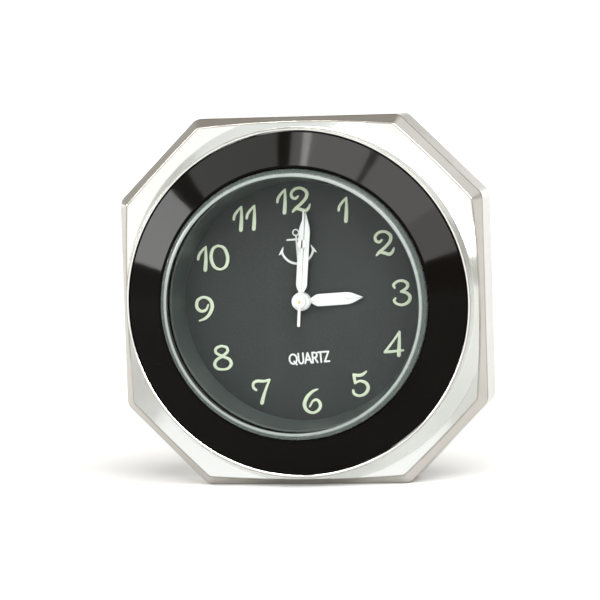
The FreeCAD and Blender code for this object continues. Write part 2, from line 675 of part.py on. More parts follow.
plate("main_plate", "plate_back", "plate_front",
      circles=[("0", "0", "plate_radius"), ("0", "0", "tube_radius")] + ARBOR_HOLES)


def make_bridge():
    """The train bridge: a disc trimmed clear of the battery, the coil and the circuit board."""
    disc = rod("bridge_disc", "bridge_radius", "bridge_back", "bridge_front")
    height = {"Height": "bridge_thickness * 3"}
    below = "bridge_back - bridge_thickness"
    tools = [rod("bridge_battery_room", "battery_radius + bridge_battery_gap", below,
                 "bridge_front + bridge_thickness", "battery_place"),
             primitive("Box", "bridge_battery_side", "battery_place", "0 - bridge_radius", below,
                       Length="bridge_radius", Width="bridge_radius * 2", **height),
             primitive("Box", "bridge_board_side", "0 - bridge_radius * 2 - bridge_trim",
                       "0 - bridge_radius", below,
                       Length="bridge_radius * 2", Width="bridge_radius * 2", **height),
             primitive("Box", "bridge_coil_side", "0 - bridge_radius",
                       "0 - bridge_radius * 2 - bridge_foot", below,
                       Length="bridge_radius * 2", Width="bridge_radius * 2", **height)]
    holes = ARBOR_HOLES + [("0", "0", "seconds_hole")]
    holes += [(x, y, "bridge_screw + thread_gap") for x, y in PILLAR_PLACES]
    for index, (x, y, radius) in enumerate(holes):
        tools.append(rod(f"bridge_hole{index}", radius, below, "bridge_front + bridge_thickness", x, y))
    return keep(cut("train_bridge", disc, join("bridge_tools", tools)), "train_bridge")


make_bridge()
pillars = [rod(f"pillar{index}", "pillar_radius", "bridge_front", "plate_back", x, y)
           for index, (x, y) in enumerate(PILLAR_PLACES)]
pillar_holes = [rod(f"pillar_hole{index}", "bridge_screw + thread_gap", "bridge_back",
                    "bridge_front + bridge_screw_length", x, y)
                for index, (x, y) in enumerate(PILLAR_PLACES)]
keep(cut("bridge_pillars", join("pillar_rods", pillars), join("pillar_holes", pillar_holes)),
     "bridge_pillars")
make_screws("bridge_screws", PILLAR_PLACES, "bridge_screw_head", "bridge_back - bridge_screw_height",
            "bridge_back", "bridge_screw", "bridge_screw_length")
turned("centre_tube", block_corners("tube_bore", "tube_radius", "tube_back", "tube_front"))

# --- wheels ---------------------------------------------------------------------------------


def toothed(teeth_cell, module_cell, back, front, phase=0.0, x="0", y="0"):
    """A toothed disc: straight-sided teeth on a pitch circle of teeth times module."""
    teeth = int(number(teeth_cell))
    module = number(module_cell)
    pitch_radius = teeth * module / 2
    tip = pitch_radius + number("tooth_height") * module
    root = pitch_radius - number("tooth_depth") * module
    step = 2 * math.pi / teeth
    middle = FreeCAD.Vector(number(x), number(y), number(back))
    half_tip = number("tooth_tip") * step
    half_root = number("tooth_root") * step
    corners = []
    for tooth in range(teeth):
        for radius, lean in ((root, -half_root), (tip, -half_tip), (tip, half_tip), (root, half_root)):
            angle = phase + tooth * step + lean
            spoke = FreeCAD.Vector(math.cos(angle), math.sin(angle), 0)
            corners.append(middle + spoke * radius)
    face = Part.Face(Part.makePolygon(corners + corners[:1]))
    return face.extrude(FreeCAD.Vector(0, 0, number(front) - number(back)))


def round_bar(radius, back, front, x="0", y="0"):
    """A solid cylinder along the dial axis."""
    base = FreeCAD.Vector(number(x), number(y), number(back))
    return Part.makeCylinder(number(radius), number(front) - number(back), base)


def half_tooth(teeth_cell):
    """Half the angle between two teeth, which puts a gap where a tooth would be."""
    return math.pi / number(teeth_cell)


def wheel(name, solids, bore=None):
    """A wheel, its pinion and its arbor as one piece; a bore goes right through it."""
    shape = solids[0].fuse(solids[1:])
    if bore:
        shape = shape.cut(round_bar(bore, "behind_all", "above_all"))
    piece = doc.addObject("Part::Feature", name)
    piece.Shape = shape.removeSplitter()
    return keep(piece, name)


UP = math.pi / 2
DOWN = -math.pi / 2
LEFT = math.pi

# Meshing pairs: the first wheel has a tooth on the line of centres, the second a gap.
wheel("seconds_wheel", [
    toothed("seconds_teeth", "step_module", "seconds_wheel_back", "seconds_wheel_front", DOWN),
    toothed("seconds_pinion_teeth", "third_module", "seconds_wheel_front",
            "third_wheel_front + pinion_overlap", UP),
    round_bar("seconds_arbor", "arbor_back", "seconds_front")])
wheel("step_wheel", [
    toothed("step_teeth", "rotor_module", "third_wheel_back", "third_wheel_front", DOWN,
            "0", "-step_place"),
    toothed("step_pinion_teeth", "step_module", "seconds_wheel_back - pinion_overlap",
            "third_wheel_back", UP + half_tooth("step_pinion_teeth"), "0", "-step_place"),
    round_bar("pivot_radius", "arbor_back", "arbor_front", "0", "-step_place")])
wheel("rotor", [
    round_bar("magnet_radius", "magnet_back", "magnet_front", "0", "-rotor_place"),
    toothed("rotor_teeth", "rotor_module", "third_wheel_back - pinion_overlap", "magnet_back",
            UP + half_tooth("rotor_teeth"), "0", "-rotor_place"),
    round_bar("pivot_radius", "arbor_back", "arbor_front", "0", "-rotor_place")])
wheel("third_wheel", [
    toothed("third_teeth", "third_module", "third_wheel_back", "third_wheel_front",
            DOWN + half_tooth("third_teeth"), "0", "third_place"),
    toothed("third_pinion_teeth", "centre_module", "third_wheel_front",
            "centre_wheel_front + pinion_overlap", DOWN, "0", "third_place"),
    round_bar("pivot_radius", "arbor_back", "arbor_front", "0", "third_place")])
wheel("centre_wheel", [
    toothed("centre_teeth", "centre_module", "centre_wheel_back", "centre_wheel_front",
            UP + half_tooth("centre_teeth")),
    round_bar("minute_arbor", "centre_wheel_back", "minute_front")], "minute_bore")
turned("clutch_spring", block_corners("minute_arbor", "clutch_radius", "clutch_back", "clutch_front"))
wheel("cannon_pinion", [
    toothed("cannon_teeth", "motion_module", "cannon_back", "cannon_front", LEFT),
    round_bar("tube_radius", "cannon_back", "cannon_front")], "minute_arbor")
wheel("motion_wheel", [
    toothed("motion_teeth", "motion_module", "cannon_back", "cannon_front",
            half_tooth("motion_teeth"), "-motion_place", "0"),
    toothed("motion_pinion_teeth", "hour_module", "cannon_front", "motion_front",
            0.0, "-motion_place", "0"),
    round_bar("knob_arbor", "knob_back", "motion_front", "-motion_place", "0")])
wheel("hour_wheel", [
    toothed("hour_teeth", "hour_module", "hour_wheel_back", "hour_wheel_front",
            LEFT + half_tooth("hour_teeth")),
    round_bar("hour_pipe", "hour_wheel_back", "hour_front")], "hour_bore")


def make_knob():
    """The setting knob, gripped all round and pressed on the end of the setting arbor."""
    grips = toothed("knob_teeth", "knob_module", "knob_back", "knob_front", 0.0, "-motion_place", "0")
    arbor = round_bar("knob_arbor", "knob_back", "knob_front", "-motion_place", "0")
    piece = doc.addObject("Part::Feature", "setting_knob")
    piece.Shape = grips.cut(arbor)
    return keep(piece, "setting_knob")


make_knob()

# --- motor and electronics ------------------------------------------------------------------

right_half = [("stator_neck", "-stator_top"), ("stator_half", "-stator_shoulder"),
              ("stator_half", "-stator_foot"), ("stator_leg_inner", "-stator_foot"),
              ("stator_leg_inner", "-stator_inner")]
plate("stator", "stator_back", "stator_front",
      right_half + [(f"-{x}", y) for x, y in reversed(right_half)],
      [("0", "-rotor_place", "stator_hole")])
plate("coil_core", "core_back", "stator_back",
      rectangle("0 - stator_half", "stator_half", "0 - stator_foot", "core_width - stator_foot"))
winding = primitive("Cylinder", "winding_rod", "0 - coil_half", "0 - coil_place", "coil_middle",
                    Radius="coil_radius", Height="coil_half * 2")
winding.Placement.Rotation = FreeCAD.Rotation(FreeCAD.Vector(0, 1, 0), 90)
passage = primitive("Box", "winding_passage", "0 - stator_half", "0 - stator_foot", "core_back",
                    Length="stator_half * 2", Width="core_width", Height="core_thickness")
keep(cut("coil_winding", winding, passage), "coil_winding")
plate("circuit_board", "board_back", "board_front",
      rectangle("0 - board_far", "0 - board_near", "0 - board_low", "board_high"))
plate("driver_chip", "board_front", "chip_front",
      rectangle("0 - board_near - chip_inset - chip_side", "0 - board_near - chip_inset",
                "chip_inset - board_low", "chip_inset - board_low + chip_side"))
can = primitive("Cylinder", "can_rod", "0 - board_far + can_inset + can_radius",
                "board_high - can_inset", "can_middle", Radius="can_radius", Height="can_length")
can.Placement.Rotation = FreeCAD.Rotation(FreeCAD.Vector(1, 0, 0), 90)
keep(join("quartz_can_body", [can, rod("can_foot", "can_radius / 3", "board_front", "can_middle",
                                       "0 - board_far + can_inset + can_radius",
                                       "board_high - can_inset - can_length / 2")]), "quartz_can")

# --- hands ----------------------------------------------------------------------------------


def make_hand(name, bore, boss, width, length, point, boss_back, boss_front, blade_back, blade_front,
              angle):
    """A pencil-shaped hand on a round boss, and the luminous filling laid on its blade."""
    body = doc.addObject("PartDesign::Body", f"{name}_hand")
    neck_foot = f"{boss} - lume_rim"
    shoulder = f"{boss} + shoulder"
    point_foot = f"{length} - {point}"
    side = [("neck_width / 2", neck_foot), (f"{width} / 2", shoulder), (f"{width} / 2", point_foot)]
    add_pad(body, boss_back, boss_front, circles=[("0", "0", boss), ("0", "0", bore)])
    add_pad(body, blade_back, blade_front, mirror(side, length))
    keep(body, f"{name}_hand", angle)
    inner = [("neck_width / 4", f"{boss} + lume_rim"), (f"{width} / 2 - lume_rim", shoulder),
             (f"{width} / 2 - lume_rim", point_foot)]
    plate(f"{name}_lume", blade_front, f"{name}_lume_front",
          mirror(inner, f"{length} - lume_rim * 3"), turn_text=angle)


def mirror(side, tip):
    """The right side of a blade, its tip, then the left side."""
    return side + [("0", tip)] + [(f"-({x})", y) for x, y in reversed(side)]


make_hand("hour", "hour_pipe", "hour_boss", "hour_width", "hour_length", "hour_point",
          "dial_front + hour_lift", "hour_front", "hour_blade_back", "hour_blade_front", "hour_angle")
make_hand("minute", "minute_arbor", "minute_boss", "minute_width", "minute_length", "minute_point",
          "dial_front + minute_lift", "minute_front", "minute_blade_back", "minute_blade_front",
          "minute_angle")


def make_seconds_hand():
    """The thin seconds hand: a needle with a tail, a boss and a small disc."""
    body = doc.addObject("PartDesign::Body", "seconds_hand")
    blade = ("seconds_blade_back", "seconds_blade_front")
    foot = "seconds_boss - seconds_width"
    add_pad(body, "dial_front + seconds_lift", "seconds_front",
            circles=[("0", "0", "seconds_boss"), ("0", "0", "seconds_arbor")])
    add_pad(body, *blade, [("seconds_width / 2", foot), ("seconds_tip_width / 2", "seconds_length"),
                           ("-(seconds_tip_width / 2)", "seconds_length"),
                           ("-(seconds_width / 2)", foot)])
    add_pad(body, *blade, [("-(seconds_width / 2)", f"-({foot})"),
                           ("-(seconds_width / 2)", "-seconds_tail"),
                           ("seconds_width / 2", "-seconds_tail"), ("seconds_width / 2", f"-({foot})")])
    add_pad(body, *blade, circles=[("0", "seconds_disc_place", "seconds_disc")])
    return keep(body, "seconds_hand", "seconds_angle")


make_seconds_hand()

# --- check and write ------------------------------------------------------------------------

doc.recompute()
for item in doc.Objects:
    if "Invalid" in item.State or "Error" in item.State:
        raise RuntimeError(f"{item.Name} is {item.State}")
for name, piece in nodes.items():
    if piece.Shape.isNull() or not piece.Shape.isValid() or not piece.Shape.Solids:
        raise RuntimeError(f"{name} has no valid solid")
for name, piece in nodes.items():
    piece.Shape.exportStep(f"parts/{name}.step")
print(len(nodes), "nodes written")
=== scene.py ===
import bmesh
import bpy
import math
from mathutils import Matrix, Vector


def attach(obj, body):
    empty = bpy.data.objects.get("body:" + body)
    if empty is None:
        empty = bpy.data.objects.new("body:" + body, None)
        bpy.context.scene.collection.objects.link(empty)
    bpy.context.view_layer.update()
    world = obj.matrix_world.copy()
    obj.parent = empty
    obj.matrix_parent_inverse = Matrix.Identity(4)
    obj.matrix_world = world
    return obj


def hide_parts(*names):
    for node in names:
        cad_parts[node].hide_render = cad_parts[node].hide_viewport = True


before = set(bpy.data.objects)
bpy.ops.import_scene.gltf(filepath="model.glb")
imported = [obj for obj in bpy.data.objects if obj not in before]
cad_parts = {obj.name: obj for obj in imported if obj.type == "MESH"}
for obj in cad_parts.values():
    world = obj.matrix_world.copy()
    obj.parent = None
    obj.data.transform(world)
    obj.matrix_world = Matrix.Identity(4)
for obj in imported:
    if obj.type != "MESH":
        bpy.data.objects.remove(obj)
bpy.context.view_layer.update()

# --- studio ---------------------------------------------------------------------------------
# The clock stands on its lower flat on a pale sweep of paper, seen from the front, a little from
# the right and from above. A very soft sun from in front and overhead and a pale dome light it.
# Five soft panels show only in what is glossy.

mm = 0.001
HALF_FACE = 22.5
CAMERA_PLACE = (0.0918, -0.4523, 0.0371)
CAMERA_ROLL = math.radians(-1.9)

lens = bpy.data.cameras.new("camera")
lens.lens = 224.3
lens.sensor_width = 36.0
camera = bpy.data.objects.new("camera", lens)
bpy.context.scene.collection.objects.link(camera)
look = Vector((-0.202, 0.976, -0.0811))
turn = look.to_track_quat("-Z", "Y").to_matrix().to_4x4() @ Matrix.Rotation(CAMERA_ROLL, 4, "Z")
camera.matrix_world = Matrix.Translation(CAMERA_PLACE) @ turn
bpy.context.scene.camera = camera
bpy.context.scene.view_settings.view_transform = "Standard"


class Value:
    """One output of a shader node, which can be used in sums."""

    def __init__(self, shader, socket):
        self.shader = shader
        self.socket = socket

    def combine(self, operation, *terms):
        return self.shader.node("ShaderNodeMath", {"operation": operation}, dict(enumerate(terms)))

    def __add__(self, other):
        return self.combine("ADD", self, other)

    def __sub__(self, other):
        return self.combine("SUBTRACT", self, other)

    def __rsub__(self, other):
        return self.combine("SUBTRACT", other, self)

    def __mul__(self, other):
        return self.combine("MULTIPLY", self, other)

    def clamped(self):
        return self.combine("MINIMUM", self.combine("MAXIMUM", self, 0.0), 1.0)

    __radd__ = __add__
    __rmul__ = __mul__


class Shader:
    """The node tree of a finish or of the dome, and the nodes that vary it."""

    def __init__(self, tree):
        self.tree = tree

    def node(self, kind, settings=None, sockets=None, out=0):
        """Adds one node: its settings first, then the values or links of its sockets."""
        node = self.tree.nodes.new(kind)
        for key, value in (settings or {}).items():
            setattr(node, key, value)
        for key, value in (sockets or {}).items():
            if isinstance(value, Value):
                self.tree.links.new(value.socket, node.inputs[key])
            else:
                node.inputs[key].default_value = value
        return Value(self, node.outputs[out])

    def mix(self, factor, first, second):
        """A colour between two colours."""
        return self.node("ShaderNodeMix", {"data_type": "RGBA"}, {0: factor, 6: first, 7: second}, 2)


class Finish(Shader):
    """A material of one Principled shader: constants on its own sockets, the rest linked to it."""

    def __init__(self, name, constants):
        self.material = bpy.data.materials.new(name)
        self.material.use_nodes = True
        super().__init__(self.material.node_tree)
        self.base = self.tree.nodes["Principled BSDF"]
        for socket, value in constants.items():
            self.base.inputs[socket].default_value = value

    def feed(self, socket, value):
        self.tree.links.new(value.socket, self.base.inputs[socket])

    def place(self):
        """Where a point of the surface is, in metres, on the piece at rest."""
        return self.node("ShaderNodeTexCoord", out="Object")

    def stretched(self, factors):
        """That place with each direction scaled, for grain that runs one way."""
        return self.node("ShaderNodeVectorMath", {"operation": "MULTIPLY"}, {0: self.place(), 1: factors})

    def grain(self, size, detail=2.0, along=(1.0, 1.0, 1.0)):
        """Soft random variation from 0 to 1, of a size in millimetres."""
        return self.node("ShaderNodeTexNoise", {}, {"Vector": self.stretched(along),
                                                    "Scale": 1.0 / (size * mm), "Detail": detail})

    def relief(self, *layers):
        """Bump from pairs of a height from 0 to 1 and its depth in millimetres."""
        height = sum(level * (depth * mm) for level, depth in layers)
        self.feed("Normal", self.node("ShaderNodeBump", {}, {"Height": height, "Distance": 1.0}))


FLOOR_RADIUS = 1.0
FLOOR_CURL = 0.3


def floor_sweep():
    """A round sheet of pale paper that rises gently at its edge, in metres."""
    profile = [(0.0, 0.0), (FLOOR_RADIUS / 4, 0.0), (FLOOR_RADIUS, 0.0)]
    for step in range(1, 9):
        angle = math.radians(step * 10)
        profile.append((FLOOR_RADIUS + FLOOR_CURL * math.sin(angle), FLOOR_CURL * (1 - math.cos(angle))))
    count = 96
    points = []
    faces = []
    for radius, height in profile:
        for step in range(count):
            angle = 2 * math.pi * step / count
            points.append((radius * math.cos(angle), radius * math.sin(angle), height - HALF_FACE * mm))
    for ring in range(len(profile) - 1):
        for step in range(count):
            after = (step + 1) % count
            faces.append((ring * count + step, ring * count + after,
                          (ring + 1) * count + after, (ring + 1) * count + step))
    mesh = bpy.data.meshes.new("floor")
    mesh.from_pydata(points, [], faces)
    mesh.shade_smooth()
    return bpy.data.objects.new("floor", mesh)


floor = floor_sweep()
bpy.context.scene.collection.objects.link(floor)
paper = Finish("pale_paper", {"Roughness": 0.75, "Specular IOR Level": 0.1})
paper.feed("Base Color", paper.mix(paper.grain(40.0), (0.93, 0.93, 0.93, 1), (0.95, 0.95, 0.945, 1)))
paper.relief((paper.grain(0.9, 4.0), 0.01))
floor.data.materials.append(paper.material)


PANEL_DISTANCE = 0.75


def soft_panel(name, toward, along, size, glow, colour=(1.0, 1.0, 1.0)):
    """A panel that faces the clock, its long side along a direction, and shows only in gloss."""
    away = Vector(toward).normalized()
    across = away.cross(Vector(along)).normalized()
    light = bpy.data.lights.new(name, "AREA")
    light.shape = "RECTANGLE"
    light.size, light.size_y = size
    light.energy = glow * math.pi * size[0] * size[1]
    light.color = colour
    panel = bpy.data.objects.new(name, light)
    panel.matrix_world = Matrix((across.cross(away), across, away)).transposed().to_4x4()
    panel.location = away * PANEL_DISTANCE
    panel.visible_diffuse = False
    bpy.context.scene.collection.objects.link(panel)


overhead = bpy.data.lights.new("overhead", "SUN")
overhead.energy = 2.5
overhead.angle = math.radians(50)
overhead_lamp = bpy.data.objects.new("overhead", overhead)
overhead_lamp.matrix_world = Vector((-0.30, 0.60, -0.74)).to_track_quat("-Z", "Y").to_matrix().to_4x4()
bpy.context.scene.collection.objects.link(overhead_lamp)
soft_panel("left_panel", (-0.82, -0.50, 0.28), (0.3, 0.2, 0.9), (0.26, 0.22), 33.0)
soft_panel("top_panel", (0.00, -0.70, 0.71), (0.39, -0.07, -0.07), (0.32, 0.14), 16.0,
           (1.0, 0.99, 0.95))
soft_panel("right_panel", (0.467, -0.764, 0.442), (0.40, -0.03, -0.50), (0.50, 0.14), 15.5,
           (1.0, 0.96, 0.92))
soft_panel("thin_strip", (-0.118, -0.665, 0.73), (0.1, 0.6, 0.6), (0.14, 0.030), 34.0)
soft_panel("dim_panel", (-0.485, -0.583, 0.647), (0.865, -0.217, 0.451), (0.37, 0.16), 9.0,
           (0.95, 1.0, 0.98))

dome = bpy.data.worlds.new("dome")
dome.use_nodes = True
bpy.context.scene.world = dome
sky = Shader(dome.node_tree)
compass = sky.node("ShaderNodeTexCoord", out="Generated")
split = sky.node("ShaderNodeSeparateXYZ", {}, {0: compass})
rightward, backward, upward = [Value(sky, output) for output in split.socket.node.outputs]
front_glow = (0.5 - 0.8 * backward).clamped() * (2.2 - 2.6 * upward).clamped()
right_glow = (2.2 * rightward - 0.3).clamped() * (2.5 * upward - 0.6).clamped()
lit = front_glow.combine("MAXIMUM", front_glow, right_glow)
sky_colour = sky.mix(lit, (0.52, 0.50, 0.46, 1), (1.25, 1.26, 1.25, 1))
dome.node_tree.links.new(sky_colour.socket, dome.node_tree.nodes["Background"].inputs["Color"])

# --- chrome holder --------------------------------------------------------------------------
# The octagonal holder: a zinc casting, bevelled, faced to a shallow cone, bored and chrome plated.
# Its bevel and upright sides are brushed satin plating, with a darker base colour that is painted
# shade. Its rounded edges are painted dark and patchy, a painted reflection of a dark room. A thin
# upright collar round its bore hides the edge of the round clock.

FACE_CORNER_CUT = 9.9
UPRIGHT_ROUND = 1.6
PAD_THICKNESS = 0.8
BEVEL_FOOT = 7.0
BEVEL_RISE = 1.5
BEVEL_INWARD = 1.18
FACE_SLOPE = 0.25
FACE_ROOT = 7.57
COLLAR_OUTSIDE = 21.3
COLLAR_INSIDE = 20.95
COLLAR_TOP = 10.8
LEDGE = 7.2
HOLDER_BORE = 18.6
DIAL_TWIST = math.radians(3.65)
HALF_CORNER = math.radians(22.5)
BORE_SOFT = 0.1
FOOT_SOFT = 0.2
BEVEL_SOFT = 0.14
COLLAR_SOFT = 0.12
ROOT_SOFT = 0.05


def stood_up(x, y, forward, twist=0.0):
    """A point x to the right, y up and forward of the pad's back, in mm, stood up in metres."""
    right = x * math.cos(twist) - y * math.sin(twist)
    up = x * math.sin(twist) + y * math.cos(twist)
    return Vector((right * mm, -forward * mm, up * mm))


def softened(corners, steps=4):
    """The closed line through corners, each given with the reach over which it is rounded."""
    line = []
    for index, (corner, reach) in enumerate(corners):
        before = corners[index - 1][0]
        after = corners[(index + 1) % len(corners)][0]
        start = corner + (before - corner).normalized() * reach
        end = corner + (after - corner).normalized() * reach
        for step in range(steps + 1):
            t = step / steps
            line.append(start * (1 - t) ** 2 + corner * (2 * t * (1 - t)) + end * t ** 2)
    return line


def octagon_outline(half, cut, rounding, flat_steps, round_steps):
    """Points of a rounded octagon with their outward directions and corner radii."""
    outline = []
    flat = half - cut
    for side in range(8):
        middle = math.radians(90 - 45 * side)
        outward = Vector((math.cos(middle), math.sin(middle)))
        along = Vector((outward.y, -outward.x))
        if side % 2 == 0:
            reach = flat
            far = half
        else:
            reach = cut / math.sqrt(2)
            far = (half + flat) / math.sqrt(2)
        trim = rounding * math.tan(HALF_CORNER)
        for step in range(flat_steps + 1):
            place = math.sin(math.pi * (step / flat_steps - 0.5))
            outline.append((outward * far + along * (place * (reach - trim)), outward))
        centre = outward * (far - rounding) + along * (reach - trim)
        for step in range(1, round_steps):
            angle = middle - math.radians(45 * step / round_steps)
            turned = Vector((math.cos(angle), math.sin(angle)))
            outline.append((centre + turned * rounding, turned))
    return outline


def skin(rings, closed=True):
    """Points and faces of a skin over rings that have the same number of points each."""
    size = len(rings[0])
    points = [point for ring in rings for point in ring]
    faces = []
    for ring in range(len(rings) if closed else len(rings) - 1):
        here = ring * size
        there = (ring + 1) % len(rings) * size
        for step in range(size):
            after = (step + 1) % size
            faces.append((here + step, here + after, there + after, there + step))
    return points, faces


def faced_outward(mesh):
    """Turns all faces of a mesh outward."""
    work = bmesh.new()
    work.from_mesh(mesh)
    bmesh.ops.recalc_face_normals(work, faces=work.faces)
    work.to_mesh(mesh)
    work.free()


def piece(name, parts, finishes, body, replaced=(), crease=35.0, keep_flat=True):
    """One object from lists of points and faces, finished, fixed to its body and put in the scene."""
    points = []
    faces = []
    for some_points, some_faces in parts:
        offset = len(points)
        points += some_points
        faces += [tuple(index + offset for index in face) for face in some_faces]
    mesh = bpy.data.meshes.new(name)
    mesh.from_pydata(points, [], faces)
    made = bpy.data.objects.new(name, mesh)
    bpy.context.scene.collection.objects.link(made)
    for finish in finishes:
        mesh.materials.append(finish.material)
    faced_outward(mesh)
    mesh.shade_smooth()
    mesh.set_sharp_from_angle(angle=math.radians(crease))
    if keep_flat:
        made.modifiers.new("flat_faces", "WEIGHTED_NORMAL").keep_sharp = True
    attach(made, body)
    if replaced:
        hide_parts(*replaced)
    return made


def holder_section(edge, outward):
    """The section of the holder inward from one point of the octagon, its fold found by halving."""
    low = 0.0
    high = BEVEL_INWARD
    for _ in range(30):
        inset = (low + high) / 2
        bevel = BEVEL_FOOT + inset * BEVEL_RISE / BEVEL_INWARD
        face = FACE_ROOT + FACE_SLOPE * ((edge - outward * inset).length - COLLAR_OUTSIDE)
        if bevel < face:
            low = inset
        else:
            high = inset
    fold = edge - outward * inset
    inward = fold.normalized()

    def at(plan, forward, reach):
        return (Vector((plan.x, plan.y, forward)), reach)

    return softened([
        at(inward * HOLDER_BORE, PAD_THICKNESS, BORE_SOFT),
        at(edge, PAD_THICKNESS, FOOT_SOFT),
        at(edge, BEVEL_FOOT, BEVEL_SOFT),
        at(fold, bevel, BEVEL_SOFT),
        at(inward * COLLAR_OUTSIDE, FACE_ROOT, ROOT_SOFT),
        at(inward * COLLAR_OUTSIDE, COLLAR_TOP, COLLAR_SOFT),
        at(inward * COLLAR_INSIDE, COLLAR_TOP, COLLAR_SOFT),
        at(inward * COLLAR_INSIDE, LEDGE, ROOT_SOFT),
        at(inward * HOLDER_BORE, LEDGE, BORE_SOFT),
    ])


holder_rings = []
for edge, outward in octagon_outline(HALF_FACE, FACE_CORNER_CUT, UPRIGHT_ROUND,
                                     flat_steps=54, round_steps=14):
    holder_rings.append([stood_up(*point) for point in holder_section(edge, outward)])

chrome = Finish("chrome_plate", {"Metallic": 1.0})
cloud = chrome.grain(9.0, 3.0)
haze = chrome.grain(0.6, 4.0)
hairline = chrome.grain(0.25, 2.0, (1.0, 1.0, 0.06))
chrome.feed("Base Color", chrome.mix(cloud, (0.71, 0.72, 0.705, 1), (0.79, 0.80, 0.78, 1)))
chrome.feed("Roughness", 0.05 + 0.06 * haze + 0.05 * hairline)
chrome.relief((chrome.grain(4.0, 1.0), 0.02), (haze, 0.0008))
# Painted dark reflection: the rounded edges of the bevel and collar get a darker, patchy plating colour.
dark_edge_paint = Finish("painted_dark_edge", {"Metallic": 1.0})
patches = dark_edge_paint.grain(1.8, 4.0)
dark_edge_paint.feed("Base Color", dark_edge_paint.mix(patches, (0.24, 0.22, 0.19, 1), (0.50, 0.48, 0.44, 1)))
dark_edge_paint.feed("Roughness", 0.16 + 0.14 * patches)
dark_edge_paint.relief((dark_edge_paint.grain(0.3, 3.0), 0.002))
satin_and_shade = Finish("satin_plate_and_shade", {"Metallic": 1.0})
brushed = satin_and_shade.grain(0.12, 3.0, (1.0, 0.05, 1.0))
# Painted shade: this plating's base colour is darker than the chrome's, so the bevel and upright sides look
# shaded; its brushing grain is real.
satin_and_shade.feed("Base Color", satin_and_shade.mix(satin_and_shade.grain(5.0, 4.0), (0.44, 0.42, 0.39, 1), (0.58, 0.56, 0.53, 1)))
satin_and_shade.feed("Roughness", 0.14 + 0.12 * brushed)
satin_and_shade.relief((brushed, 0.0015))
holder = piece("chrome_holder", [skin(holder_rings)], [chrome, dark_edge_paint, satin_and_shade], "holder",
               ["bezel_shell"], crease=4.0, keep_flat=False)
CORNER_POINTS = 5
# Rounded edges given the painted dark reflection:
DARK_PAINTED_CORNERS = (2, 3, 5)  # foot and top of the bevel, outer rim of the collar
SATIN_AND_SHADE_STRIPS = (1, 2)  # upright sides and bevel
for face in holder.data.polygons:
    corner, step = divmod(face.index % len(holder_rings[0]), CORNER_POINTS)
    rounded = step < CORNER_POINTS - 1
    if rounded and corner in DARK_PAINTED_CORNERS:
        face.material_index = 1
    elif not rounded and corner in SATIN_AND_SHADE_STRIPS:
        face.material_index = 2

# --- foam pad -------------------------------------------------------------------------------
# The octagonal ring of black closed-cell foam, glued on both sides, that sticks the holder to a
# panel. Its cut edges are rounded a little and show the cells.

PAD_HALF = 21.5
PAD_BORE = 19.6
PAD_ROUND = 0.4
PAD_BULGE = 0.22

pad_rings = []
pad_inset = HALF_FACE - PAD_HALF
pad_cut = FACE_CORNER_CUT - pad_inset + pad_inset * math.tan(HALF_CORNER)
for edge, outward in octagon_outline(PAD_HALF, pad_cut, PAD_ROUND, flat_steps=20, round_steps=4):
    inner = edge.normalized() * PAD_BORE
    pad_section = [Vector((inner.x, inner.y, 0.0)), Vector((edge.x, edge.y, 0.0)),
                   Vector((edge.x, edge.y, PAD_THICKNESS)), Vector((inner.x, inner.y, PAD_THICKNESS))]
    pad_rings.append([stood_up(*point) for point in softened([(corner, PAD_BULGE)
                                                              for corner in pad_section])])

foam = Finish("black_foam", {"Specular IOR Level": 0.2})
cells = foam.node("ShaderNodeTexVoronoi", {}, {"Vector": foam.place(), "Scale": 1.0 / (0.22 * mm)})
foam.feed("Base Color", foam.mix(cells, (0.012, 0.012, 0.012, 1), (0.06, 0.06, 0.058, 1)))
foam.feed("Roughness", 0.8 + 0.15 * foam.grain(1.5))
foam.relief((cells, 0.04), (foam.grain(3.0), 0.03))
foam_ring = piece("foam_ring", [skin(pad_rings)], [foam], "holder", ["foam_pad"])

# --- grip ring ------------------------------------------------------------------------------
# The moulded rubber ring that the round clock is pushed into. Its ribs grip the holder's bore.

GRIP_INSIDE = 17.55
GRIP_OUTSIDE = 18.5
GRIP_BACK = 3.0
GRIP_FRONT = 6.5
RIBS = 72
RIB_DEPTH = 0.12


def turned_skin(corners, steps=240, centre=(0.0, 0.0), twist=0.0, ripple=0.0, ripples=0):
    """A skin turned about an axis from corners (radius, forward, reach of rounding), or rippled."""
    section = softened([(Vector((radius, forward)), reach) for radius, forward, reach in corners])
    rings = []
    for step in range(steps):
        angle = 2 * math.pi * step / steps
        wave = ripple * 0.5 * (1 - math.cos(ripples * angle))
        ring = []
        for radius, forward in section:
            shrunk = radius - (wave if radius > corners[0][0] else 0.0)
            ring.append(stood_up(centre[0] + shrunk * math.cos(angle),
                                 centre[1] + shrunk * math.sin(angle), forward, twist))
        rings.append(ring)
    return skin(rings)


rubber = Finish("black_rubber", {"Specular IOR Level": 0.35})
bloom = rubber.grain(2.5, 4.0)
rubber.feed("Base Color", rubber.mix(bloom, (0.015, 0.015, 0.015, 1), (0.045, 0.045, 0.044, 1)))
rubber.feed("Roughness", 0.55 + 0.2 * bloom)
rubber.relief((rubber.grain(0.12, 3.0), 0.006))
piece("ribbed_grip_ring",
      [turned_skin([(GRIP_INSIDE, GRIP_BACK, 0.15), (GRIP_OUTSIDE, GRIP_BACK, 0.3),
                    (GRIP_OUTSIDE, GRIP_FRONT, 0.3), (GRIP_INSIDE, GRIP_FRONT, 0.15)],
                   steps=RIBS * 8, ripple=RIB_DEPTH, ripples=RIBS)],
      [rubber], "grip", ["grip_ring"])

# --- front ring -----------------------------------------------------------------------------
# The conical front of the round clock: a moulding in gloss black that hides the works and holds
# the glass in its mouth.

RING_BORE = 15.75
RING_OUTSIDE = 20.85
RING_BACK = 7.25
RING_EDGE = 10.7
RING_CROWN = 12.7
RING_LAND = 16.75
RING_MOUTH = 16.5
GLASS_SEAT = 11.7

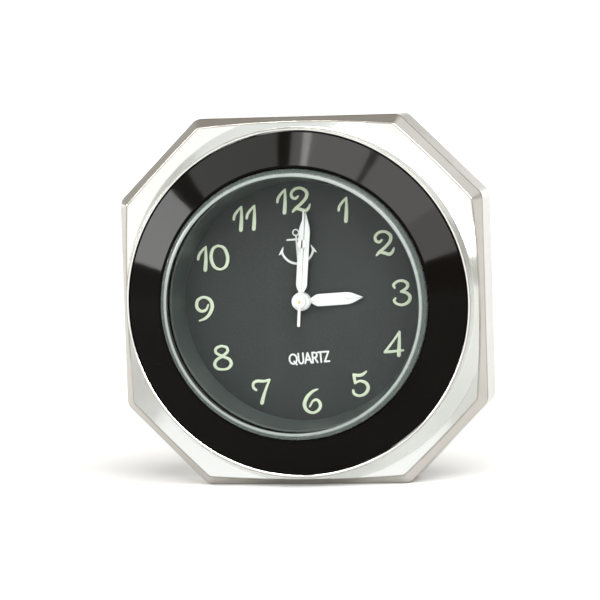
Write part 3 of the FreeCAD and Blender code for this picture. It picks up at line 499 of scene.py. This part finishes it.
gloss_black = Finish("gloss_black", {"Specular IOR Level": 0.055})
smudge = gloss_black.grain(5.0, 4.0)
rub = gloss_black.grain(0.7, 4.0)
gloss_black.feed("Base Color", gloss_black.mix(smudge, (0.0020, 0.0014, 0.0010, 1),
                                               (0.0038, 0.0028, 0.0020, 1)))
gloss_black.feed("Roughness", 0.03 + 0.05 * smudge + 0.03 * rub)
gloss_black.relief((gloss_black.grain(7.0, 1.0), 0.03), (rub, 0.0004))
piece("gloss_front_ring",
      [turned_skin([(RING_BORE, RING_BACK, 0.1), (RING_OUTSIDE, RING_BACK, 0.1),
                    (RING_OUTSIDE, RING_EDGE, 0.12), (RING_LAND, RING_CROWN, 0.12),
                    (RING_MOUTH, RING_CROWN, 0.08), (RING_MOUTH, GLASS_SEAT, 0.05),
                    (RING_BORE, GLASS_SEAT, 0.05)])],
      [gloss_black], "clock", ["front_ring"])

# --- glass ----------------------------------------------------------------------------------
# The mineral glass: a thick flat disc with a ground and polished round rim, a little green where
# it is looked through sideways. It lies on a thin rubber gasket in the mouth of the front ring.

GLASS_RADIUS = 16.4
GLASS_BACK = 12.0
GLASS_FRONT = 13.8
RIM_ROUND = 0.9
RIM_HIGHLIGHT_RADIUS = 15.68

clear = Finish("clear_glass", {"Roughness": 0.02, "Specular IOR Level": 0.5, "Base Color": (0, 0, 0, 1)})
through = clear.node("ShaderNodeBsdfTransparent", {}, {"Color": (0.985, 0.99, 0.987, 1)})
inside = clear.node("ShaderNodeNewGeometry", out="Backfacing")
edge_on = (1.2 * clear.node("ShaderNodeFresnel", {}, {"IOR": 1.32}) - 0.021).clamped() * (1 - inside)
glare = clear.node("ShaderNodeBsdfGlossy", {}, {"Color": (1, 1, 1, 1), "Roughness": 0.03})
clear_mix = clear.node("ShaderNodeMixShader", {}, {0: edge_on, 1: through, 2: glare})
clear.tree.links.new(clear_mix.socket, clear.tree.nodes["Material Output"].inputs["Surface"])

ground = Finish("ground_rim", {"Metallic": 0.0, "Specular IOR Level": 0.5, "Alpha": 0.75})
frost = ground.grain(0.8, 4.0)
from_axis = ground.node("ShaderNodeVectorMath", {"operation": "LENGTH"}, {0: ground.stretched((1, 0, 1))}, 1)
# Painted highlight: a thin pale ring mixed into the ground rim's colour where the rim is 15.68 mm from the
# axis.
past_line = (1 / mm) * from_axis - RIM_HIGHLIGHT_RADIUS
off_line = past_line.combine("ABSOLUTE", past_line)
painted_highlight = (1.35 - 5.0 * off_line).clamped()
frosted = ground.mix(frost, (0.060, 0.080, 0.074, 1), (0.105, 0.130, 0.122, 1))
ground.feed("Base Color", ground.mix(painted_highlight, frosted, (0.42, 0.47, 0.45, 1)))
ground.feed("Roughness", 0.16 + 0.2 * frost)
ground.relief((ground.grain(0.2, 3.0), 0.002))


def glass_disc():
    """The glass in two skins: the clear faces, then the ground rim between them."""
    steps = 240
    radii = [(GLASS_RADIUS - RIM_ROUND, GLASS_FRONT)]
    for step in range(1, 9):
        angle = math.radians(90 * step / 8)
        radii.append((GLASS_RADIUS - RIM_ROUND * (1 - math.sin(angle)),
                      GLASS_FRONT - RIM_ROUND * (1 - math.cos(angle))))
    radii.append((GLASS_RADIUS, GLASS_BACK))
    points = []
    for radius, forward in radii:
        for step in range(steps):
            angle = 2 * math.pi * step / steps
            points.append(stood_up(radius * math.cos(angle), radius * math.sin(angle), forward))
    faces = [tuple(range(steps)), tuple(range((len(radii) - 1) * steps, len(radii) * steps))]
    for ring in range(len(radii) - 1):
        for step in range(steps):
            after = (step + 1) % steps
            faces.append((ring * steps + step, ring * steps + after,
                          (ring + 1) * steps + after, (ring + 1) * steps + step))
    return points, faces


glass = piece("clock_glass", [glass_disc()], [clear, ground], "clock", ["crystal_glass"])
for face in glass.data.polygons:
    face.material_index = 0 if len(face.vertices) > 4 else 1

# --- dial surround --------------------------------------------------------------------------
# The thin tapered ring between glass and dial, pressed from sheet and painted satin grey-green.
# It stands on the rim of the dial.

SURROUND_BACK = 7.4
SURROUND_TOP = 11.6
SURROUND_FOOT = 14.6
SURROUND_MOUTH = 15.4
SURROUND_OUTSIDE = 15.65

surround_paint = Finish("surround_paint", {"Metallic": 0.25, "Specular IOR Level": 0.5})
mist = surround_paint.grain(1.2, 4.0)
surround_paint.feed("Base Color", surround_paint.mix(mist, (0.055, 0.068, 0.065, 1),
                                                     (0.085, 0.100, 0.096, 1)))
surround_paint.feed("Roughness", 0.32 + 0.15 * mist)
surround_paint.relief((surround_paint.grain(0.1, 2.0), 0.003))
piece("painted_surround",
      [turned_skin([(SURROUND_FOOT, SURROUND_BACK, 0.03), (SURROUND_OUTSIDE, SURROUND_BACK, 0.05),
                    (SURROUND_OUTSIDE, SURROUND_TOP, 0.05), (SURROUND_MOUTH, SURROUND_TOP, 0.05)])],
      [surround_paint], "clock", ["dial_surround"])

# --- dial -----------------------------------------------------------------------------------
# A thin sheet disc in satin dark grey with printed luminous script numerals, a small anchor
# under twelve and the kind of movement in small capitals above six.

DIAL_FACE = 7.4
DIAL_BACK = 7.1
DIAL_RADIUS = 15.6
DIAL_HOLE = 1.1

dial_paint = Finish("dial_paint", {"Metallic": 0.15, "Specular IOR Level": 0.3})
streak = dial_paint.grain(6.0, 1.0, (1.0, 1.0, 0.15))
dial_paint.feed("Base Color", dial_paint.mix(streak, (0.027, 0.031, 0.031, 1), (0.037, 0.042, 0.042, 1)))
dial_paint.feed("Roughness", 0.38 + 0.06 * streak)
dial_paint.relief((dial_paint.grain(6.0, 1.0), 0.008))
piece("painted_dial",
      [turned_skin([(DIAL_HOLE, DIAL_BACK, 0.05), (DIAL_RADIUS, DIAL_BACK, 0.05),
                    (DIAL_RADIUS, DIAL_FACE, 0.05), (DIAL_HOLE, DIAL_FACE, 0.05)], steps=144)],
      [dial_paint], "clock", ["dial_plate"])

NUMERAL_CIRCLE = 12.3
NUMERAL_HEIGHT = 2.9
FIGURE_SPACE = 0.12
INK = 0.035
STROKE_ENDS = (80, 55, 28)
# The section of a stroke: sideways in half widths, and up in depths of ink.
STROKE_SECTION = ((-1.0, -0.3), (-0.97, 0.5), (-0.75, 0.95), (0.0, 1.0), (0.75, 0.95), (0.97, 0.5),
                  (1.0, -0.3))
# Each figure as brush strokes of (x, y, width), in figure heights from its lower left.
FIGURES = {
    "0": (0.74, [[(0.37, 1.0, 0.10), (0.14, 0.88, 0.13), (0.02, 0.52, 0.15), (0.12, 0.14, 0.14),
                  (0.38, 0.0, 0.10), (0.64, 0.13, 0.13), (0.74, 0.50, 0.15), (0.62, 0.88, 0.13),
                  (0.37, 1.0, 0.10)]]),
    "1": (0.44, [[(0.02, 0.50, 0.11), (0.07, 0.66, 0.12), (0.22, 0.84, 0.11), (0.40, 1.0, 0.08)],
                 [(0.40, 1.0, 0.08), (0.37, 0.66, 0.13), (0.33, 0.32, 0.16), (0.28, 0.03, 0.17)]]),
    "2": (0.80, [[(0.36, 0.66, 0.09), (0.24, 0.58, 0.12), (0.10, 0.66, 0.13), (0.10, 0.84, 0.12),
                  (0.28, 0.99, 0.12), (0.54, 0.99, 0.12), (0.74, 0.82, 0.15), (0.70, 0.58, 0.14),
                  (0.46, 0.34, 0.13), (0.20, 0.16, 0.12), (0.08, 0.04, 0.09)],
                 [(0.08, 0.04, 0.09), (0.24, 0.15, 0.12), (0.44, 0.10, 0.14), (0.62, 0.04, 0.14),
                  (0.76, 0.13, 0.12), (0.84, 0.28, 0.07)]]),
    "3": (0.72, [[(0.10, 0.74, 0.10), (0.07, 0.87, 0.12), (0.26, 1.0, 0.11), (0.50, 1.0, 0.12),
                  (0.66, 0.86, 0.14), (0.60, 0.68, 0.13), (0.36, 0.56, 0.10)],
                 [(0.36, 0.56, 0.10), (0.60, 0.48, 0.13), (0.72, 0.30, 0.15), (0.62, 0.10, 0.14),
                  (0.38, 0.0, 0.12), (0.14, 0.06, 0.11), (0.03, 0.20, 0.12), (0.10, 0.30, 0.08)]]),
    "4": (0.80, [[(0.74, 1.0, 0.10), (0.44, 0.64, 0.10), (0.04, 0.20, 0.11)],
                 [(0.04, 0.20, 0.11), (0.34, 0.20, 0.12), (0.82, 0.22, 0.09)],
                 [(0.74, 1.0, 0.10), (0.70, 0.64, 0.13), (0.66, 0.34, 0.16), (0.62, 0.03, 0.17)]]),
    "5": (0.72, [[(0.14, 0.90, 0.12), (0.32, 0.86, 0.14), (0.50, 0.88, 0.13), (0.68, 1.0, 0.08)],
                 [(0.14, 0.90, 0.13), (0.15, 0.72, 0.13), (0.16, 0.55, 0.11)],
                 [(0.16, 0.55, 0.10), (0.38, 0.62, 0.11), (0.62, 0.52, 0.14), (0.70, 0.30, 0.15),
                  (0.56, 0.08, 0.13), (0.30, 0.0, 0.11), (0.08, 0.10, 0.12), (0.05, 0.24, 0.11)]]),
    "6": (0.74, [[(0.66, 0.98, 0.07), (0.44, 0.90, 0.12), (0.18, 0.68, 0.15), (0.04, 0.38, 0.16),
                  (0.12, 0.12, 0.14), (0.38, 0.0, 0.11), (0.64, 0.12, 0.13), (0.72, 0.34, 0.14),
                  (0.60, 0.53, 0.12), (0.42, 0.50, 0.10), (0.26, 0.28, 0.08)]]),
    "7": (0.78, [[(0.16, 0.58, 0.11), (0.05, 0.70, 0.12), (0.08, 0.88, 0.12), (0.26, 0.95, 0.13),
                  (0.52, 0.92, 0.12), (0.78, 0.97, 0.09)],
                 [(0.78, 0.97, 0.09), (0.60, 0.62, 0.11), (0.46, 0.30, 0.14), (0.36, 0.02, 0.17)]]),
    "8": (0.76, [[(0.38, 1.0, 0.10), (0.16, 0.92, 0.12), (0.12, 0.74, 0.12), (0.38, 0.56, 0.12),
                  (0.66, 0.42, 0.13), (0.74, 0.22, 0.14), (0.60, 0.04, 0.12), (0.38, 0.0, 0.10),
                  (0.14, 0.05, 0.12), (0.02, 0.22, 0.14), (0.12, 0.42, 0.13), (0.38, 0.56, 0.12),
                  (0.62, 0.74, 0.12), (0.60, 0.92, 0.12), (0.38, 1.0, 0.10)]]),
    "9": (0.72, [[(0.54, 0.66, 0.08), (0.42, 0.46, 0.11), (0.20, 0.42, 0.13), (0.04, 0.60, 0.14),
                  (0.10, 0.88, 0.13), (0.36, 1.0, 0.11), (0.62, 0.88, 0.14), (0.71, 0.60, 0.16),
                  (0.58, 0.30, 0.14), (0.36, 0.10, 0.12), (0.10, 0.02, 0.07)]]),
}


def smooth_line(points, steps=7):
    """Points of a smooth curve through (x, y, width) points."""
    line = []
    for index in range(len(points) - 1):
        before = Vector(points[max(index - 1, 0)])
        first = Vector(points[index])
        second = Vector(points[index + 1])
        after = Vector(points[min(index + 2, len(points) - 1)])
        for step in range(steps):
            t = step / steps
            line.append(0.5 * (2 * first + (second - before) * t
                               + (2 * before - 5 * first + 4 * second - after) * t * t
                               + (3 * first - 3 * second + after - before) * t ** 3))
    line.append(Vector(points[-1]))
    return line


def brush_stroke(points, scale, shift, depth=INK, steps=7, ground_level=DIAL_FACE):
    """The skin of one printed stroke: low at its edges, round at its ends."""
    line = smooth_line(points, steps)
    sections = []
    last = len(line) - 1
    for index, spot in enumerate(line):
        ahead = line[min(index + 1, last)] - line[max(index - 1, 0)]
        way = Vector((ahead.x, ahead.y)).normalized()
        sections.append((Vector((spot.x, spot.y)), way, spot.z / 2))
    first_spot, first_way, first_half = sections[0]
    last_spot, last_way, last_half = sections[-1]
    caps_before = []
    caps_after = []
    for turn_back in STROKE_ENDS:
        angle = math.radians(turn_back)
        caps_before.append((first_spot - first_way * (first_half * math.sin(angle)), first_way,
                            first_half * math.cos(angle)))
        caps_after.insert(0, (last_spot + last_way * (last_half * math.sin(angle)), last_way,
                              last_half * math.cos(angle)))
    rings = []
    for spot, way, half in caps_before + sections + caps_after:
        across = Vector((way.y, -way.x))
        ring = []
        for side, rise in STROKE_SECTION:
            place = (spot + across * (half * side)) * scale + shift
            ring.append(stood_up(place.x, place.y, ground_level + depth * rise, DIAL_TWIST))
        rings.append(ring)
    points, faces = skin(rings, closed=False)
    size = len(rings[0])
    faces.append(tuple(range(size)))
    faces.append(tuple(range(len(points) - size, len(points))))
    return points, faces


def numeral(hour):
    """The strokes of one numeral, upright, with its middle on the numeral circle."""
    figures = [FIGURES[letter] for letter in str(hour)]
    wide = sum(width for width, _ in figures) + FIGURE_SPACE * (len(figures) - 1)
    angle = math.radians(90 - 30 * hour)
    middle = Vector((math.cos(angle), math.sin(angle))) * NUMERAL_CIRCLE
    left = middle.x - wide * NUMERAL_HEIGHT / 2
    strokes = []
    for width, lines in figures:
        for line in lines:
            strokes.append(brush_stroke(line, NUMERAL_HEIGHT,
                                        Vector((left, middle.y - NUMERAL_HEIGHT / 2))))
        left += (width + FIGURE_SPACE) * NUMERAL_HEIGHT
    return strokes


glow_ink = Finish("luminous_ink", {"Specular IOR Level": 0.3})
body_of_ink = glow_ink.grain(0.35, 4.0)
glow_ink.feed("Base Color", glow_ink.mix(body_of_ink, (0.54, 0.63, 0.46, 1), (0.72, 0.79, 0.62, 1)))
glow_ink.feed("Roughness", 0.55 + 0.2 * body_of_ink)
glow_ink.relief((glow_ink.grain(0.08, 3.0), 0.008))
piece("script_numerals", [stroke for hour in range(1, 13) for stroke in numeral(hour)],
      [glow_ink], "clock", crease=60.0, keep_flat=False)

white_ink = Finish("white_ink", {"Specular IOR Level": 0.3})
thin_ink = white_ink.grain(0.3, 4.0)
white_ink.feed("Base Color", white_ink.mix(thin_ink, (0.62, 0.64, 0.64, 1), (0.84, 0.86, 0.86, 1)))
white_ink.feed("Roughness", 0.45 + 0.2 * thin_ink)
white_ink.relief((white_ink.grain(0.08, 3.0), 0.004))

THIN_INK = 0.02
ANCHOR_PLACE = Vector((0.0, 6.35))
LINE = 0.17


def arc(centre, radius, start, end, steps=10, width=LINE):
    """Points of an arc, from one angle to another in degrees."""
    return [(centre[0] + radius * math.cos(math.radians(start + (end - start) * step / steps)),
             centre[1] + radius * math.sin(math.radians(start + (end - start) * step / steps)), width)
            for step in range(steps + 1)]


# Ring, shank, stock, arms and two flukes.
anchor = [
    arc((0.0, 2.05), 0.36, -90, 270, 16),
    [(0.0, 1.70, LINE * 1.4), (0.0, 0.0, LINE * 1.6), (0.0, -1.70, LINE * 1.8)],
    [(-1.15, 1.22, LINE * 1.2), (0.0, 1.22, LINE * 1.5), (1.15, 1.22, LINE * 1.2)],
    arc((0.0, 0.25), 2.0, -166, -14, 20, LINE * 1.7),
    [(-2.35, -0.55, 0.05), (-1.98, -0.15, 0.32), (-1.72, 0.42, 0.05)],
    [(2.35, -0.55, 0.05), (1.98, -0.15, 0.32), (1.72, 0.42, 0.05)],
]
piece("anchor_print", [brush_stroke(line, 1.0, ANCHOR_PLACE, THIN_INK, 5) for line in anchor],
      [white_ink], "clock", crease=60.0, keep_flat=False)

LETTER_HEIGHT = 1.24
PEN = 0.2
PEN_THINNING = 0.88
LETTER_NARROWING = 0.78
LETTER_SPACING = 0.88
WORD_RIGHT = 0.22
WORD_BASE = -7.62
# Each letter as its width and its pen strokes, in letter heights from its lower left.
LETTERS = [
    (1.02, [arc((0.50, 0.5), 0.47, 90, 450, 18, PEN), [(0.58, 0.26, PEN), (0.92, -0.06, PEN)]]),
    (0.74, [[(0.06, 1.0, PEN), (0.06, 0.62, PEN), (0.07, 0.30, PEN), (0.18, 0.06, PEN),
             (0.36, 0.0, PEN), (0.54, 0.06, PEN), (0.65, 0.30, PEN), (0.66, 0.62, PEN),
             (0.66, 1.0, PEN)]]),
    (0.86, [[(0.02, 0.0, PEN), (0.42, 1.0, PEN)], [(0.42, 1.0, PEN), (0.82, 0.0, PEN)],
            [(0.18, 0.32, PEN), (0.66, 0.32, PEN)]]),
    (0.70, [[(0.06, 0.0, PEN), (0.06, 1.0, PEN)],
            [(0.06, 0.98, PEN), (0.36, 0.98, PEN), (0.58, 0.90, PEN), (0.62, 0.72, PEN),
             (0.54, 0.54, PEN), (0.34, 0.48, PEN), (0.06, 0.48, PEN)],
            [(0.34, 0.46, PEN), (0.64, 0.0, PEN)]]),
    (0.66, [[(0.0, 0.98, PEN), (0.66, 0.98, PEN)], [(0.33, 0.98, PEN), (0.33, 0.0, PEN)]]),
    (0.66, [[(0.04, 0.98, PEN), (0.62, 0.98, PEN)], [(0.62, 0.98, PEN), (0.04, 0.02, PEN)],
            [(0.04, 0.02, PEN), (0.64, 0.02, PEN)]]),
]
letter_strokes = []
left = -sum(width for width, _ in LETTERS) * LETTER_HEIGHT * LETTER_SPACING / 2 + WORD_RIGHT
for width, lines in LETTERS:
    for line in lines:
        narrow = [(x * LETTER_NARROWING, y, pen * PEN_THINNING) for x, y, pen in line]
        letter_strokes.append(brush_stroke(narrow, LETTER_HEIGHT, Vector((left, WORD_BASE)), THIN_INK, 5))
    left += width * LETTER_HEIGHT * LETTER_SPACING
piece("movement_lettering", letter_strokes, [white_ink], "clock", crease=60.0,
      keep_flat=False)

# --- hands ----------------------------------------------------------------------------------
# Three stamped hands in white paint. The hour and minute hands are pencil shaped, framed round a
# slightly raised white luminous filling. The seconds hand is a needle with a tail and a disc.

NECK_WIDTH = 0.42
SHOULDER = 0.8
FRAME_RIM = 0.17
TIP_SOFT = 0.06
BLADE_THICKNESS = 0.15
BOSS_THICKNESS = 0.3
FILLING_RISE = 0.06

white_paint = Finish("white_paint", {"Specular IOR Level": 0.5, "Coat Weight": 0.2, "Coat Roughness": 0.15})
coat = white_paint.grain(0.5, 4.0)
white_paint.feed("Base Color", white_paint.mix(coat, (0.76, 0.78, 0.775, 1), (0.84, 0.86, 0.855, 1)))
white_paint.feed("Roughness", 0.28 + 0.15 * coat)
white_paint.relief((white_paint.grain(0.15, 3.0), 0.003))
filling = Finish("luminous_filling", {"Specular IOR Level": 0.3})
paste = filling.grain(0.25, 4.0)
filling.feed("Base Color", filling.mix(paste, (0.78, 0.81, 0.79, 1), (0.86, 0.89, 0.87, 1)))
filling.feed("Roughness", 0.6 + 0.2 * paste)
filling.relief((filling.grain(0.1, 3.0), 0.012))


def flat_piece(outline, back, front, angle, soft=0.05, steps=3):
    """A stamped piece with a rounded front edge, turned clockwise by an angle from twelve."""
    line = softened([(Vector(corner), reach) for corner, reach in outline], 5)
    count = len(line)
    turn_by = DIAL_TWIST - math.radians(angle)
    area = sum(line[i - 1].x * line[i].y - line[i].x * line[i - 1].y for i in range(count))
    inward = []
    for index in range(count):
        along = (line[(index + 1) % count] - line[index - 1]).normalized()
        inward.append(Vector((-along.y, along.x)) * (1 if area > 0 else -1))
    layers = [(0.0, back)]
    for step in range(steps + 1):
        lean = math.radians(90 * step / steps)
        layers.append((soft * (1 - math.cos(lean)), front - soft * (1 - math.sin(lean))))
    rings = []
    for inset, forward in layers:
        rings.append([stood_up(*(spot + way * inset), forward, turn_by)
                      for spot, way in zip(line, inward)])
    points, faces = skin(rings, closed=False)
    faces.append(tuple(range(count)))
    faces.append(tuple(range(len(points) - count, len(points))))
    return points, faces


def mirrored(side, tip):
    """An outline from the corners of its right side, its tip, then its left side."""
    return (side + [((0.0, tip), TIP_SOFT)]
            + [((-x, y), corner_reach) for (x, y), corner_reach in reversed(side)])


def boss(radius, bore, back, front):
    """A round boss with a shallow dish round its hole."""
    return turned_skin([(bore, back, 0.0), (radius, back, 0.04), (radius, front, 0.09),
                        (bore + 0.22, front, 0.05), (bore + 0.12, front - 0.06, 0.03),
                        (bore, front - 0.06, 0.0)], steps=64)


def pencil_hand(name, radius, bore, width, length, point, boss_back, blade_back, angle):
    """A pencil-shaped hand with its boss, and the filling on its blade."""
    blade_front = blade_back + BLADE_THICKNESS
    shoulder = radius + SHOULDER
    side = [((NECK_WIDTH / 2, radius - FRAME_RIM), 0.02), ((width / 2, shoulder), 0.25),
            ((width / 2, length - point), 0.5)]
    piece(f"{name}_hand_painted",
          [flat_piece(mirrored(side, length), blade_back, blade_front, angle),
           boss(radius, bore, boss_back, boss_back + BOSS_THICKNESS)],
          [white_paint], name, [f"{name}_hand"], keep_flat=False)
    inner = [((NECK_WIDTH / 4, radius + FRAME_RIM), 0.02), ((width / 2 - FRAME_RIM, shoulder), 0.2),
             ((width / 2 - FRAME_RIM, length - point), 0.4)]
    piece(f"{name}_hand_filling",
          [flat_piece(mirrored(inner, length - FRAME_RIM * 3), blade_front - 0.01,
                      blade_front + FILLING_RISE, angle)],
          [filling], name, [f"{name}_lume"], keep_flat=False)


pencil_hand("hour", radius=1.15, bore=0.85, width=1.5, length=7.7, point=1.7,
            boss_back=7.65, blade_back=7.725, angle=90.7)
pencil_hand("minute", radius=1.1, bore=0.5, width=1.36, length=11.1, point=2.2,
            boss_back=8.3, blade_back=8.375, angle=8.7)

SECONDS_ANGLE = 8.0
SECONDS_BACK = 9.04
SECONDS_FRONT = 9.16
NEEDLE_ROOT = 0.17
NEEDLE_END = 0.08
NEEDLE_REACH = 11.1
TAIL_REACH = 3.0
INSIDE_BOSS = 0.41
DISC_PLACE = 7.1
DISC_RADIUS = 0.55
needle = [((NEEDLE_ROOT, INSIDE_BOSS), 0.0), ((NEEDLE_END, NEEDLE_REACH), 0.05),
          ((-NEEDLE_END, NEEDLE_REACH), 0.05), ((-NEEDLE_ROOT, INSIDE_BOSS), 0.0)]
tail = [((NEEDLE_ROOT, -INSIDE_BOSS), 0.0), ((NEEDLE_ROOT, -TAIL_REACH), 0.08),
        ((-NEEDLE_ROOT, -TAIL_REACH), 0.08), ((-NEEDLE_ROOT, -INSIDE_BOSS), 0.0)]
disc = []
for step in range(36):
    angle = math.radians(10 * step)
    disc.append(((DISC_RADIUS * math.cos(angle), DISC_PLACE + DISC_RADIUS * math.sin(angle)), 0.01))
blades = [flat_piece(outline, SECONDS_BACK, SECONDS_FRONT, SECONDS_ANGLE, 0.03)
          for outline in (needle, tail, disc)]
piece("seconds_hand_painted", blades + [boss(0.75, 0.18, 8.95, 9.25)],
      [white_paint], "seconds", ["seconds_hand"], keep_flat=False)

# --- works, case and electronics ------------------------------------------------------------
# The pieces behind the dial keep their turned, stamped and moulded shapes. Each is given the
# finish of what it is made of.

steel = Finish("rolled_steel", {"Metallic": 1.0})
brushing = steel.grain(0.15, 3.0, (0.08, 1.0, 1.0))
steel.feed("Base Color", steel.mix(steel.grain(1.5), (0.50, 0.50, 0.49, 1), (0.66, 0.66, 0.65, 1)))
steel.feed("Roughness", 0.22 + 0.2 * brushing)
steel.relief((brushing, 0.002))

brass = Finish("turned_brass", {"Metallic": 1.0})
tarnish = brass.grain(1.2, 4.0)
brass.feed("Base Color", brass.mix(tarnish, (0.62, 0.45, 0.20, 1), (0.82, 0.64, 0.33, 1)))
brass.feed("Roughness", 0.2 + 0.2 * tarnish)
brass.relief((brass.grain(0.1, 2.0), 0.001))

moulding = Finish("black_moulding", {"Specular IOR Level": 0.4})
texture = moulding.grain(0.16, 3.0)
wear = moulding.grain(5.0, 3.0)
moulding.feed("Base Color", moulding.mix(wear, (0.018, 0.018, 0.018, 1), (0.035, 0.035, 0.034, 1)))
moulding.feed("Roughness", 0.42 + 0.15 * texture)
moulding.relief((texture, 0.012))

polished_moulding = Finish("polished_moulding", {"Specular IOR Level": 0.5})
scuff = polished_moulding.grain(1.6, 4.0)
polished_moulding.feed("Base Color", polished_moulding.mix(scuff, (0.035, 0.035, 0.036, 1),
                                                           (0.070, 0.070, 0.069, 1)))
polished_moulding.feed("Roughness", 0.16 + 0.2 * scuff)
polished_moulding.relief((scuff, 0.004), (polished_moulding.grain(0.2), 0.002))

pale_moulding = Finish("pale_moulding", {"Specular IOR Level": 0.4})
flow = pale_moulding.grain(3.0, 3.0)
pale_moulding.feed("Base Color", pale_moulding.mix(flow, (0.48, 0.48, 0.45, 1), (0.62, 0.62, 0.58, 1)))
pale_moulding.feed("Roughness", 0.4 + 0.15 * flow)
pale_moulding.relief((pale_moulding.grain(0.12, 3.0), 0.006))

wheel_moulding = Finish("wheel_moulding", {"Specular IOR Level": 0.45})
gate = wheel_moulding.grain(1.4, 3.0)
wheel_moulding.feed("Base Color", wheel_moulding.mix(gate, (0.68, 0.67, 0.62, 1), (0.82, 0.81, 0.77, 1)))
wheel_moulding.feed("Roughness", 0.35 + 0.12 * gate)
wheel_moulding.relief((wheel_moulding.grain(0.1, 3.0), 0.003))

magnet = Finish("sintered_magnet", {"Metallic": 0.7})
pores = magnet.grain(0.1, 4.0)
magnet.feed("Base Color", magnet.mix(pores, (0.08, 0.08, 0.085, 1), (0.20, 0.20, 0.21, 1)))
magnet.feed("Roughness", 0.5 + 0.2 * pores)
magnet.relief((pores, 0.004))

copper = Finish("enamelled_wire", {"Metallic": 1.0, "Coat Weight": 0.4})
wire = copper.node("ShaderNodeTexWave", {"wave_type": "BANDS", "bands_direction": "X"},
                   {"Vector": copper.place(), "Scale": 1.0 / (0.6 * mm), "Distortion": 0.6})
copper.feed("Base Color", copper.mix(wire, (0.42, 0.16, 0.06, 1), (0.80, 0.40, 0.18, 1)))
copper.feed("Roughness", 0.25 + 0.15 * copper.grain(0.4))
copper.relief((wire, 0.03))

board = Finish("green_board", {"Specular IOR Level": 0.5})
weave = board.node("ShaderNodeTexChecker", {}, {"Vector": board.place(), "Scale": 1.0 / (0.3 * mm)}, 1)
board.feed("Base Color", board.mix(board.grain(1.0, 4.0), (0.02, 0.14, 0.06, 1), (0.04, 0.24, 0.11, 1)))
board.feed("Roughness", 0.3 + 0.1 * weave)
board.relief((weave, 0.003))

resin = Finish("chip_resin", {"Specular IOR Level": 0.4})
sand = resin.grain(0.12, 3.0)
resin.feed("Base Color", resin.mix(sand, (0.012, 0.012, 0.013, 1), (0.03, 0.03, 0.032, 1)))
resin.feed("Roughness", 0.5 + 0.2 * sand)
resin.relief((sand, 0.006))

tin = Finish("drawn_can", {"Metallic": 1.0})
draw = tin.grain(0.2, 3.0, (1.0, 1.0, 0.1))
tin.feed("Base Color", tin.mix(draw, (0.66, 0.67, 0.69, 1), (0.80, 0.81, 0.83, 1)))
tin.feed("Roughness", 0.2 + 0.15 * draw)
tin.relief((draw, 0.002))

KEPT = [
    (rubber, ["crystal_gasket", "back_gasket", "cap_seal_ring"]),
    (moulding, ["case_shell", "case_back"]),
    (polished_moulding, ["battery_cap"]),
    (pale_moulding, ["movement_ring", "main_plate", "train_bridge", "bridge_pillars"]),
    (wheel_moulding, ["step_wheel", "third_wheel", "motion_wheel", "hour_wheel", "setting_knob"]),
    (steel, ["case_screws", "bridge_screws", "battery_cell", "contact_negative", "contact_positive",
             "stator", "coil_core", "clutch_spring"]),
    (brass, ["seconds_wheel", "centre_wheel", "cannon_pinion", "centre_tube"]),
    (magnet, ["rotor"]),
    (copper, ["coil_winding"]),
    (board, ["circuit_board"]),
    (resin, ["driver_chip"]),
    (tin, ["quartz_can"]),
]
for finish, names in KEPT:
    for name in names:
        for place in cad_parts[name].material_slots:
            place.material = finish.material

# --- case back marks ------------------------------------------------------------------------
# The case back is moulded with a raised rim and a ring round the cap. White marks are printed on
# it: an arrow round the setting knob, and a plus and a turning arrow by the battery cap.

BACK_LEVEL = 1.7
CAP_CENTRE = (8.0, 0.0)
KNOB_CENTRE = (-4.32, 0.0)
SUNK = 0.05
RIM_INSIDE = 14.9
RIM_OUTSIDE = 15.5
RIM_RISE = 0.18
CAP_RING_INSIDE = 4.65
CAP_RING_OUTSIDE = 5.05
CAP_RING_RISE = 0.14


def raised_ring(inside, outside, rise, soft, **place):
    """A ring that stands backward from the case back, its foot sunk a little into it."""
    return turned_skin([(inside, BACK_LEVEL + SUNK, 0.02), (inside, BACK_LEVEL - rise, soft),
                        (outside, BACK_LEVEL - rise, soft), (outside, BACK_LEVEL + SUNK, 0.02)], **place)


piece("moulded_rims",
      [raised_ring(RIM_INSIDE, RIM_OUTSIDE, RIM_RISE, 0.08),
       raised_ring(CAP_RING_INSIDE, CAP_RING_OUTSIDE, CAP_RING_RISE, 0.06,
                   steps=120, centre=CAP_CENTRE, twist=DIAL_TWIST)],
      [moulding], "clock")


BARB_LENGTH = 0.9
BARB_SPREAD = 0.6


def turning_arrow(centre, radius, start, end, width):
    """The strokes of an arrow that runs round a centre, with two barbs at its end."""
    line = arc(centre, radius, start, end, 24, width)
    tip = Vector(line[-1][:2])
    way = (tip - Vector(line[-3][:2])).normalized()
    across = Vector((-way.y, way.x))
    barbs = []
    for side in (-1, 1):
        foot = tip - way * BARB_LENGTH + across * (BARB_SPREAD * side)
        barbs.append([(foot.x, foot.y, width), (tip.x, tip.y, width)])
    return [line] + barbs


MARK_DEPTH = -0.03  # backward from the case back
plus_sign = [[(13.2, 4.6, 0.3), (14.6, 4.6, 0.3)], [(13.9, 3.9, 0.3), (13.9, 5.3, 0.3)]]
back_marks = turning_arrow(KNOB_CENTRE, radius=3.3, start=60, end=300, width=0.22)
back_marks += turning_arrow(CAP_CENTRE, radius=6.0, start=60, end=105, width=0.26)
back_marks += plus_sign
piece("back_marks", [brush_stroke(line, 1.0, Vector((0.0, 0.0)), MARK_DEPTH, 5, BACK_LEVEL)
                     for line in back_marks],
      [white_ink], "clock", crease=60.0, keep_flat=False)
